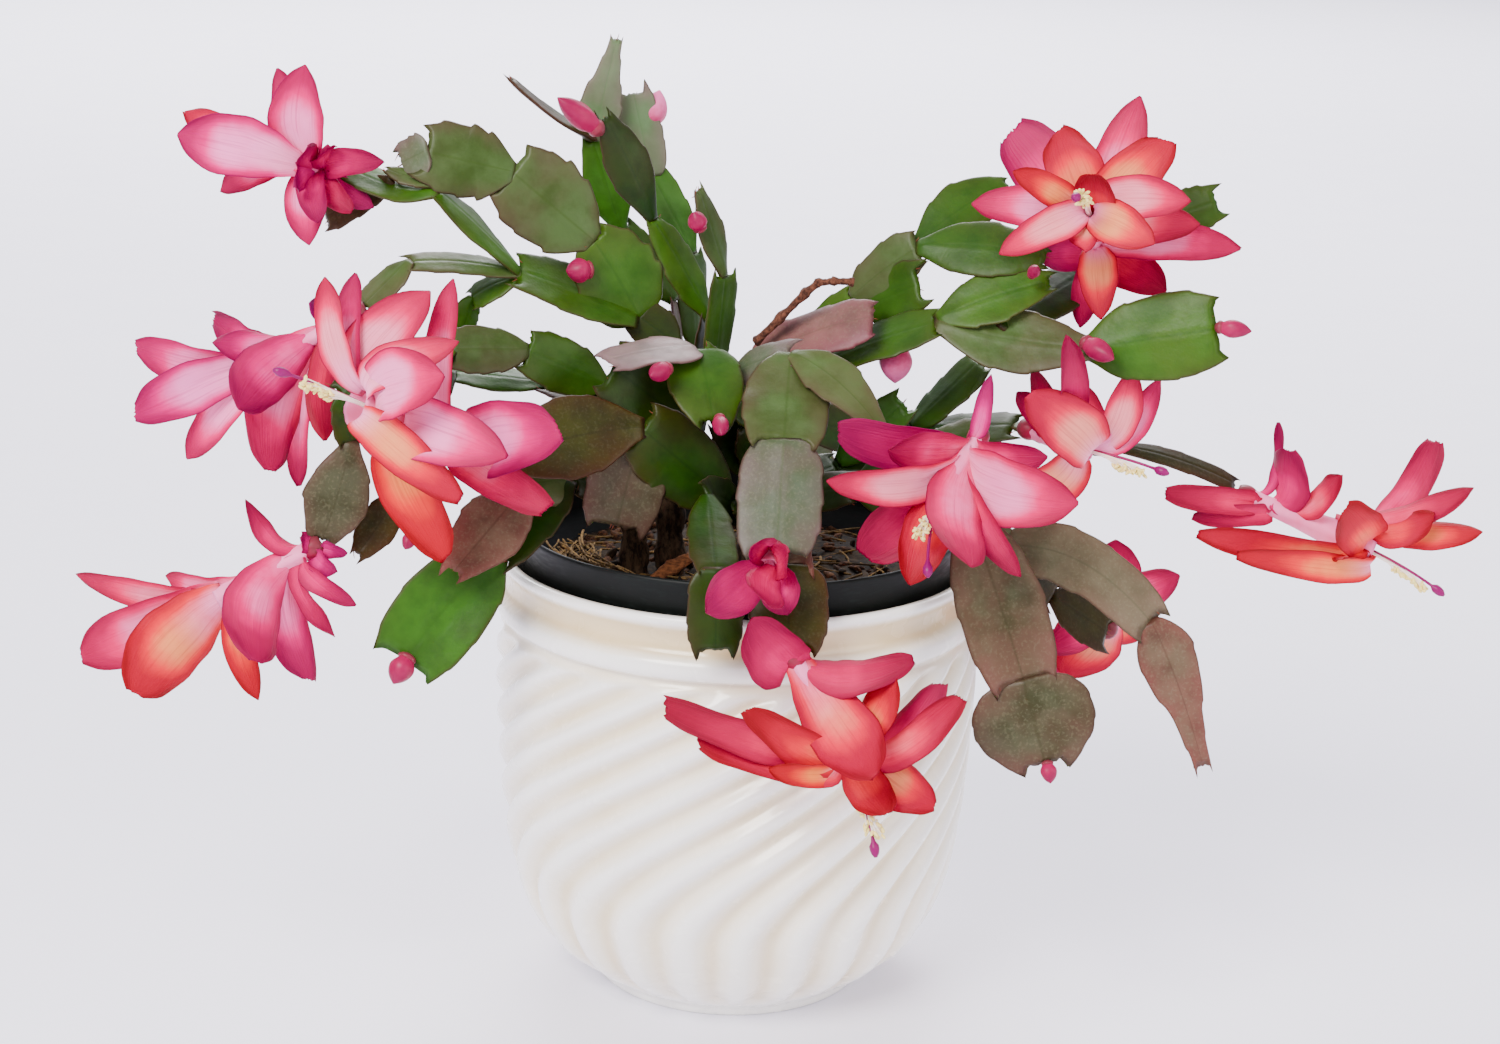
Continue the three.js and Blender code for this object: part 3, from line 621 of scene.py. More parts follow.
@dataclass(frozen=True)
class TissueFinish:
    """Moist plant tissue in one colour that turns to another towards its far end."""

    name: str
    near: str
    far: str
    roughness: float = 0.42
    mottle_size: float = 1.5

    def material(self) -> bpy.types.Material:
        """Makes the material.

        Returns:
            The material, which reads along.
        """
        made, tree, place = blank(self.name)
        along = add(tree, "Attribute", out="Fac", attribute_name="along")
        cloud = add(tree, "TexNoise", {"Vector": place, "Scale": per_mm(self.mottle_size),
                                       "Detail": 3.0})
        share = add(tree, "Math", {0: cloud, 1: 0.5, 2: -0.25}, operation="MULTIPLY_ADD")
        share = add(tree, "Math", {0: share, 1: along}, operation="ADD")
        share = add(tree, "MapRange", {0: share, 1: 0.1, 2: 0.9}, **SMOOTH)
        skin = add(tree, "Bump", {"Strength": 0.3, "Distance": 0.1 * MM, "Height": cloud})
        add(tree, "OutputMaterial", {0: add(tree, "BsdfPrincipled", {
            "Base Color": add(tree, "Mix", {0: share, 6: self.near, 7: self.far}, **COLOURED),
            "Roughness": self.roughness, "IOR": 1.4, "Specular IOR Level": 0.3, "Normal": skin,
            "Subsurface Weight": 0.15, "Subsurface Scale": 0.8 * MM,
            "Subsurface Radius": (1.0, 0.4, 0.4)})})
        return made


@dataclass(frozen=True)
class GlazeFinish:
    """Ivory glaze over pressed earthenware: glassy, thin on ribs, and warm beige in grooves,
    partly pooled glaze and partly painted shade.
    """

    ridge: str = "#FBF8F1"
    body: str = "#F7EEDC"
    pool_and_shade: str = "#D9BE88"
    cloud_size: float = 26.0
    wave_size: float = 7.0

    def material(self) -> bpy.types.Material:
        """Makes the material.

        Returns:
            The material, which reads hollow: 1 at the bottom of a groove.
        """
        made, tree, place = blank("ivory_glazed_earthenware")
        hollow = add(tree, "Attribute", out="Fac", attribute_name="hollow")
        cloud = add(tree, "TexNoise", {"Vector": place, "Scale": per_mm(self.cloud_size),
                                       "Detail": 3.0})
        # Painted shade with pooled glaze: where hollow is high, in grooves, cove, crease and
        # inside, the ivory turns beige.
        share = add(tree, "Math", {0: cloud, 1: 0.6, 2: -0.3}, operation="MULTIPLY_ADD")
        share = add(tree, "Math", {0: share, 1: hollow}, operation="ADD")
        thin = add(tree, "MapRange", {0: share, 1: 0.0, 2: 0.5}, **SMOOTH)
        thick = add(tree, "MapRange", {0: share, 1: 0.45, 2: 1.25, 4: 0.9}, **SMOOTH)
        colour = add(tree, "Mix", {0: thin, 6: self.ridge, 7: self.body}, **COLOURED)
        colour = add(tree, "Mix", {0: thick, 6: colour, 7: self.pool_and_shade}, **COLOURED)
        # Glaze levels itself in long soft waves, with hardly any grain.
        wave = add(tree, "TexNoise", {"Vector": place, "Scale": per_mm(self.wave_size)})
        skin = add(tree, "Bump", {"Strength": 0.2, "Distance": 0.25 * MM, "Height": wave})
        add(tree, "OutputMaterial", {0: add(tree, "BsdfPrincipled", {
            "Base Color": colour, "Normal": skin, "IOR": 1.5, "Coat Weight": 0.4,
            "Coat Roughness": 0.1, "Coat IOR": 1.5,
            "Roughness": add(tree, "MapRange", {0: wave, 1: 0.3, 2: 0.7, 3: 0.2, 4: 0.3})})})
        return made


@dataclass(frozen=True)
class PlasticFinish:
    """Thin vacuum-formed polypropylene: green-black, satin, with faint rub marks."""

    body: str = "#0B0E0C"
    rubbed: str = "#181E1C"
    scuff_size: float = 4.0

    def material(self) -> bpy.types.Material:
        """Makes the material.

        Returns:
            The material.
        """
        made, tree, place = blank("vacuum_formed_polypropylene")
        flat = add(tree, "Mapping", {0: place, 3: (1.0, 1.0, 5.0)})
        scuff = add(tree, "TexNoise", {"Vector": flat, "Scale": per_mm(self.scuff_size),
                                       "Detail": 5.0})
        rub = add(tree, "MapRange", {0: scuff, 1: 0.5, 2: 0.75, 4: 0.6}, **SMOOTH)
        skin = add(tree, "Bump", {"Strength": 0.15, "Distance": 0.1 * MM, "Height": scuff})
        add(tree, "OutputMaterial", {0: add(tree, "BsdfPrincipled", {
            "Base Color": add(tree, "Mix", {0: rub, 6: self.body, 7: self.rubbed}, **COLOURED),
            "Normal": skin, "IOR": 1.49, "Specular IOR Level": 0.14,
            "Roughness": add(tree, "MapRange", {0: scuff, 1: 0.3, 2: 0.7, 3: 0.38, 4: 0.55})})})
        return made


@dataclass(frozen=True)
class EarthFinish:
    """Rough dry matter of a garden kind: peat, bark, straw or wood, in two tones."""

    name: str
    light: str
    dark: str
    grain: float
    stretch: tuple[float, float, float] = (1.0, 1.0, 1.0)
    relief: float = 0.6

    def material(self) -> bpy.types.Material:
        """Makes the material.

        Returns:
            The material, which reads tone.
        """
        made, tree, place = blank(self.name)
        tone = add(tree, "Attribute", out="Fac", attribute_name="tone")
        drawn = add(tree, "Mapping", {0: place, 3: self.stretch})
        grain = add(tree, "TexNoise", {"Vector": drawn, "Scale": per_mm(self.grain),
                                       "Detail": 6.0, "Roughness": 0.65})
        share = add(tree, "MapRange", {0: grain, 1: 0.36, 2: 0.64}, **SMOOTH)
        colour = add(tree, "Mix", {0: share, 6: self.dark, 7: self.light}, **COLOURED)
        light = add(tree, "MapRange", {0: tone, 3: 0.55, 4: 1.5})
        colour = add(tree, "Mix", {0: 1.0, 6: colour, 7: add(tree, "CombineColor", {
            0: light, 1: light, 2: light})}, blend_type="MULTIPLY", **COLOURED)
        rough = add(tree, "Bump", {"Strength": 0.7, "Distance": self.relief * MM,
                                   "Height": grain})
        add(tree, "OutputMaterial", {0: add(tree, "BsdfPrincipled", {
            "Base Color": colour, "Normal": rough, "Roughness": 0.88, "IOR": 1.45,
            "Specular IOR Level": 0.2})})
        return made


@dataclass(frozen=True)
class BoardFinish:
    """Matt pale studio board."""

    colour: str = "#EFEDFA"
    tint: str = "#F4F2FC"
    cloud_size: float = 60.0

    def material(self) -> bpy.types.Material:
        """Makes the material.

        Returns:
            The material.
        """
        made, tree, place = blank("studio_board")
        cloud = add(tree, "TexNoise", {"Vector": place, "Scale": per_mm(self.cloud_size)})
        add(tree, "OutputMaterial", {0: add(tree, "BsdfPrincipled", {
            "Base Color": add(tree, "Mix", {0: cloud, 6: self.colour, 7: self.tint}, **COLOURED),
            "Roughness": 0.7})})
        return made


PETAL = PetalFinish()
POLLEN = TissueFinish("stamen_filament_and_anther", "#FBEBDD", "#F6E08C", 0.5)
STIGMA = TissueFinish("style_and_stigma", "#90284C", "#7C0054", 0.35)
OVARY = TissueFinish("flower_ovary", "#6E2A34", "#98063C")
BUD = TissueFinish("closed_bud", "#A00848", "#80003A")
PALE_BUD = TissueFinish("faded_bud", "#B9305E", "#D8689A")
BRISTLE = TissueFinish("dry_bristle", "#3C271C", "#7A3A26", 0.6)
GLAZE = GlazeFinish()
PLASTIC = PlasticFinish()
PEAT = EarthFinish("moist_peat_mix", "#352614", "#120A07", 2.4)
BARK = EarthFinish("composted_bark", "#5A3A22", "#26100A", 1.6, (1.0, 1.0, 3.0))
CHIP = EarthFinish("dry_bark_chip", "#8E5836", "#583420", 1.8, (1.0, 3.0, 3.0))
STRAW = EarthFinish("dry_straw", "#8A6C3E", "#4C3A26", 1.0, (0.4, 1.0, 1.0), 0.2)
WOOD = EarthFinish("old_cactus_wood", "#4E3C2A", "#1C110A", 1.5, (1.0, 1.0, 0.3))
DRY_SHOOT = EarthFinish("withered_shoot", "#5A3526", "#2C1710", 1.2)


(GREEN, DEEP, LIGHT, OLIVE, PALE, MAUVE, BRONZE, MAROON, SHADE, UMBER, ASHEN,
 SILVER) = LeafTint


class LeafShape(Enum):
    """Outlines of a segment, as half widths from its joint to its tip."""

    OBLONG = ((0, 0.13), (0.05, 0.18), (0.16, 0.32), (0.34, 0.44), (0.55, 0.495),
              (0.76, 0.49), (0.9, 0.44), (1, 0.36))
    BLUNT = ((0, 0.20), (0.05, 0.33), (0.15, 0.44), (0.35, 0.49), (0.6, 0.50), (0.82, 0.47),
             (0.93, 0.42), (1, 0.34))
    ROUND = ((0, 0.18), (0.05, 0.31), (0.18, 0.44), (0.42, 0.51), (0.62, 0.50), (0.82, 0.41),
             (0.93, 0.30), (1, 0.19))
    SPINDLE = ((0, 0.12), (0.06, 0.17), (0.2, 0.33), (0.45, 0.50), (0.68, 0.46), (0.87, 0.30),
               (1, 0.15))
    TAILED = ((0, 0.14), (0.05, 0.26), (0.14, 0.41), (0.32, 0.51), (0.5, 0.44), (0.68, 0.29),
              (0.85, 0.19), (1, 0.15))


OBLONG, BLUNT, ROUND, SPINDLE, TAILED = LeafShape

# Stems, as joints [x, z, depth, radius]
STEMS: dict[str, list[Row]] = {
    "woody_stem_left": [(-31, 119, 18, 4.6), (-32, 138, 16, 3.8), (-34, 157, 12, 3.2)],
    "woody_stem_middle": [(-20, 119, 16, 4.8), (-21, 138, 13, 4.2), (-19, 158, 9, 3.6)],
    "woody_stem_right": [(3, 119, 14, 4.4), (3, 138, 12, 3.8), (2, 158, 8, 3.2)],
}

# The withered shoot, as (x, z, depth) of its joints
DRY_SHOOT_JOINTS: tuple[Row, ...] = (
    (3, 195, 12), (10, 202.5, 13), (17, 210, 14), (20.5, 213, 14), (25, 213.6, 14),
    (30.5, 213.5, 14))

# Branches, each a list of chains of segments. The first row of a chain is the joint that it
# grows from, as (x, z, depth). Each row after it is one segment: (x, z, depth) of its tip,
# its width, the angle that its face is turned away from the standpoint, positive where it
# faces up, the height by which its middle arches, its colouring and, where they differ from
# the usual, its shape, the length of its horns and the depth of its teeth.
BRANCHES: dict[str, list[list[Row]]] = {
    "branch_upper_left": [
        [(-20, 157, 9), (-20.5, 174, 9, 13, 60, 0, DEEP), (-20.5, 194, 6, 13, 50, 0, DEEP),
         (-31.5, 201.5, 6, 13, 10, 0, DEEP), (-45, 223.5, 10, 24, 12, 1, GREEN, ROUND, 3.0, 1.0),
         (-68.5, 242.5, 16, 24.5, 8, 0, OLIVE, OBLONG, 3.0, 1.1),
         (-93, 247.5, 20, 20, 10, 0, OLIVE, OBLONG, 3.0, 1.0),
         (-100, 244, 17, 12, 20, 0, PALE, BLUNT)]],
    "branch_far_left": [
        [(-32.5, 200, 9), (-66.5, 213.5, 16, 19, 48, 1, GREEN), (-90, 236, 22, 14, 66, 1, GREEN),
         (-121.5, 245.5, 14, 13, 52, -3, GREEN, SPINDLE)],
        [(-103, 239, 18), (-122, 227.5, 10, 10, 25, 0, BRONZE)],
        [(-92, 238, 21), (-104.5, 242, 18, 6, 40, 0, OLIVE, SPINDLE)],
        [(-66, 212.5, 16), (-98, 215, 26, 10, 55, 1.5, OLIVE), (-111, 202, 30, 13, 55, 0, OLIVE)],
        [(-67, 211, 16), (-80, 205, 14, 11, 50, 1, GREEN), (-83.5, 195, 16, 10, 40, 0, GREEN)]],
    "branch_left_long": [
        [(-35, 157, 12), (-37, 169, 12, 14, 30, 0, DEEP), (-41, 181, 12, 16, 20, 0, DEEP),
         (-64, 190.5, 20, 16, 15, 0, GREEN), (-86, 190, 30, 14, 20, 0, OLIVE),
         (-104, 186, 40, 13, 40, 0, GREEN), (-118, 175, 46, 12, 30, 0, DEEP),
         (-115.5, 161, 50, 9, 20, 0, DEEP), (-124.5, 131, 54, 17.5, 0, -2, SHADE, SPINDLE)]],
    "branch_left_low": [
        [(-38, 171, 12), (-58, 180.5, 11, 14, 60, 1, PALE), (-86, 183, 18, 12, 55, 0, LIGHT),
         (-97, 166, 32, 12, 50, 0, DEEP), (-101.5, 147, 40, 11, 10, 0, DEEP),
         (-114, 127, 46, 11, 0, -1, BRONZE, SPINDLE)]],
    "branch_tall_pale": [
        [(-18, 158, 7), (-17.5, 180, -11, 7, 75, 0, PALE), (-21.5, 207, -16, 7, 75, 0, PALE),
         (-37, 227, -15, 13, 30, 0, GREEN), (-45.5, 252.5, -13, 13, 5, 0, LIGHT, SPINDLE),
         (-39, 281, -11, 12, 10, 0, SILVER, TAILED, 1.2)],
        [(-45, 253, -12), (-69, 269, -6, 11, 80, -1.5, BRONZE, SPINDLE)]],
    "branch_tall_green": [
        [(-16, 158, 7), (-13, 180, -3, 11, 60, 0, DEEP), (-11.5, 202, -3, 11, 60, 0, DEEP),
         (-28, 230, 0, 13, 40, 1, GREEN, SPINDLE), (-42, 259, 4, 13.5, 24, 1, DEEP, SPINDLE)]],
    "branch_tall_back": [
        [(-17, 157, 5), (-15, 173, -12, 7, 70, 0, PALE), (-15, 193, -22, 7, 75, 0, PALE),
         (-16.5, 221, -24, 14, 50, 0, GREEN), (-28.5, 243, -22, 12, 20, 0, LIGHT),
         (-34, 266, -20, 12, 5, 0, SILVER, BLUNT)]],
    "branch_upright": [
        [(1, 158, 7), (-7, 170, 5, 11, 40, 0, DEEP), (-9.5, 184, 6, 12, 50, 0, DEEP),
         (-7, 214.5, 5, 13, 52, 0, GREEN), (-15, 239, 8, 11, 50, 0, OLIVE, SPINDLE)]],
    "branch_front_left": [
        [(2, 146, 12), (-4, 147, 31, 13, 40, 0, DEEP), (-30, 168, 40, 22, 10, 0, DEEP),
         (-71, 157, 52, 23, 12, 2, BRONZE, SPINDLE)],
        [(-30.5, 166, 39), (-37, 138, 42, 22, 8, 0, SHADE)]],
    "branch_front_low": [
        [(-33, 149, 14), (-50, 152, 33, 15, 30, 0, OLIVE), (-63, 150, 42, 14, 20, 0, OLIVE),
         (-85, 122.5, 60, 19, 15, 0, MAROON, SPINDLE)],
        [(-51, 151, 35), (-72, 128, 49, 16, 30, 0, DEEP), (-100, 94, 60, 25, 0, 2, LIGHT)]],
    "branch_center_shade": [
        [(-19, 156, 11), (-14, 168, 24, 15, 30, 0, DEEP), (-39, 186, 34, 23, 20, 0, DEEP, BLUNT)]],
    "branch_center_round": [
        [(1, 156, 10), (-6, 174, 19, 14, 40, 0, DEEP), (-14, 191, 27, 14, 40, 0, GREEN),
         (-9, 171, 44, 21, 14, 2, GREEN, ROUND)],
        [(-15, 192, 27), (-40, 187.5, 42, 16, 62, 1, ASHEN, BLUNT, 1.4)]],
    "branch_center_hanging": [
        [(3, 158, 10), (1, 171, 20, 12, 40, 0, DEEP), (-4, 184, 22, 12, 50, 0, GREEN),
         (13, 191.5, 30, 14, 52, 1, PALE), (12, 165.5, 56, 24, 5, 0, OLIVE),
         (11, 131.5, 74, 23, 0, 0, PALE, BLUNT)],
        [(13.5, 191, 31), (40, 170, 48, 15, 36, 3, OLIVE, SPINDLE)]],
    "branch_over_rim_left": [
        [(1, 141, 15), (-10, 148, 50, 12, 30, 2, DEEP), (-7, 125, 80, 13, 10, 0, DEEP),
         (-6.5, 100, 84, 15, 10, 0, DEEP, BLUNT)]],
    "branch_over_rim_right": [
        [(5, 139, 15), (8, 146, 50, 14, 40, 2, DEEP),
         (15, 127, 70, 15, 10, 0, MAROON, OBLONG, 5.0), (15.5, 102, 84, 21, 0, 0, BRONZE, BLUNT)]],
    "branch_mauve": [
        [(3, 158, 6), (3, 174, 7, 12, 45, 0, GREEN), (3, 189, 9, 13, 45, 0, GREEN),
         (37, 203, 18, 17, 38, 2, MAUVE, BLUNT, 1.2)]],
    "branch_right_upper": [
        [(4, 156, 5), (10, 173, -5, 13, 50, 0, DEEP), (13, 189, -8, 13, 50, 0, DEEP),
         (31, 209, -4, 13, 40, 0, GREEN), (49, 224, 2, 15, 25, 1, OLIVE),
         (86, 222, 14, 18, 30, 1.5, GREEN, SPINDLE)],
        [(34, 206, -2), (50, 213.5, 8, 17, 20, 0, GREEN, OBLONG, 4.0)],
        [(49, 225, -2), (74, 243, -14, 16, 20, 2, GREEN, SPINDLE)]],
    "branch_right_long": [
        [(5, 154, 8), (14, 172, 8, 14, 40, 0, DEEP), (21, 188, 8, 14, 40, 0, DEEP),
         (55.5, 202, 18, 15, 45, 1, GREEN), (100, 196, 30, 19, 25, -1.5, OLIVE, SPINDLE),
         (137, 203, 40, 24, 5, 0, GREEN)],
        [(56, 203, 17), (87.5, 215, 18, 17, 30, 1, GREEN, SPINDLE)],
        [(74, 202, 21), (99, 219, -4, 16, 30, 0, DEEP), (116, 233, -14, 14, 20, 0, DEEP),
         (134, 240, -14, 13, 10, 0, GREEN)]],
    "branch_right_low": [
        [(5, 150, 8), (28, 158, -4, 15, 40, 0, DEEP), (50, 171, -10, 14, 30, 0, DEEP),
         (68.5, 191, -12, 14, 45, 0, GREEN)],
        [(29, 160, -3), (47, 178, -1, 13, 20, 0, LIGHT)],
        [(51, 170, -10), (80, 172, 6, 14, 50, 0, DEEP), (108, 166.5, 12, 13, 60, 0, OLIVE),
         (146, 156, 6, 8, 50, 2, BRONZE)]],
    "branch_right_hanging": [
        [(5, 147, 11), (34, 152, 30, 15, 40, 0, DEEP), (68, 144, 50, 17, 20, 1, DEEP),
         (87, 93, 64, 24, 5, 1, SHADE), (95, 67, 68, 33, 0, 0, SHADE, ROUND)],
        [(35, 153, 30), (52, 163, 32, 14, 40, 0, DEEP), (70, 170, 34, 14, 40, 0, DEEP)]],
    "branch_right_arch": [
        [(51, 149, 40), (66, 143, 34, 13, 40, 0, DEEP), (80, 134, 36, 12, 30, 0, OLIVE),
         (124, 112.5, 42, 18, 25, 7, UMBER, BLUNT), (143, 67.5, 44, 16, 8, 3, MAROON, TAILED)],
        [(82, 133, 35), (94, 120, 27, 12, 30, 0, BRONZE), (111, 109, 20, 15, 30, 0, BRONZE)]],
    "branch_back_left": [
        [(-20, 156, 6), (-30, 172, -34, 15, 30, 0, DEEP), (-36, 168, -66, 16, 10, 0, GREEN),
         (-40, 146, -92, 18, 10, 0, OLIVE), (-42, 118, -104, 20, 0, 0, GREEN)],
        [(-31, 171, -35), (-54, 166, -52, 16, 30, 0, DEEP), (-66, 160, -66, 15, 30, 0, OLIVE)]],
    "branch_back_right": [
        [(1, 157, 5), (8, 174, -36, 15, 30, 0, DEEP), (18, 168, -68, 16, 10, 0, GREEN),
         (22, 146, -94, 18, 10, 0, OLIVE), (24, 118, -106, 20, 0, 0, GREEN)],
        [(9, 173, -37), (38, 168, -56, 16, 30, 0, DEEP), (60, 160, -74, 17, 30, 0, GREEN),
         (78, 152, -86, 17, 30, 0, OLIVE)]],
}


@dataclass(frozen=True)
class FlowerPlan:
    """One flower: its base, its mouth, its petals and the ends of its stamens and stigma.

    A petal is (x, z, depth) of its tip, its width, its place along the tube, 1 for its mouth,
    the depth of its colour, partly painted shade and backlit glow, its hue from -1 for orange-red
    to 1 for magenta and, where its tip is cut off instead of pointed, how much it is. The flare
    is how far off the tube's middle the petals at its mouth spring, in mm.
    """

    base: Row
    mouth: Row
    petals: list[Row]
    stamens: tuple[Row, Row] | None = None
    flare: float = PETAL_RING


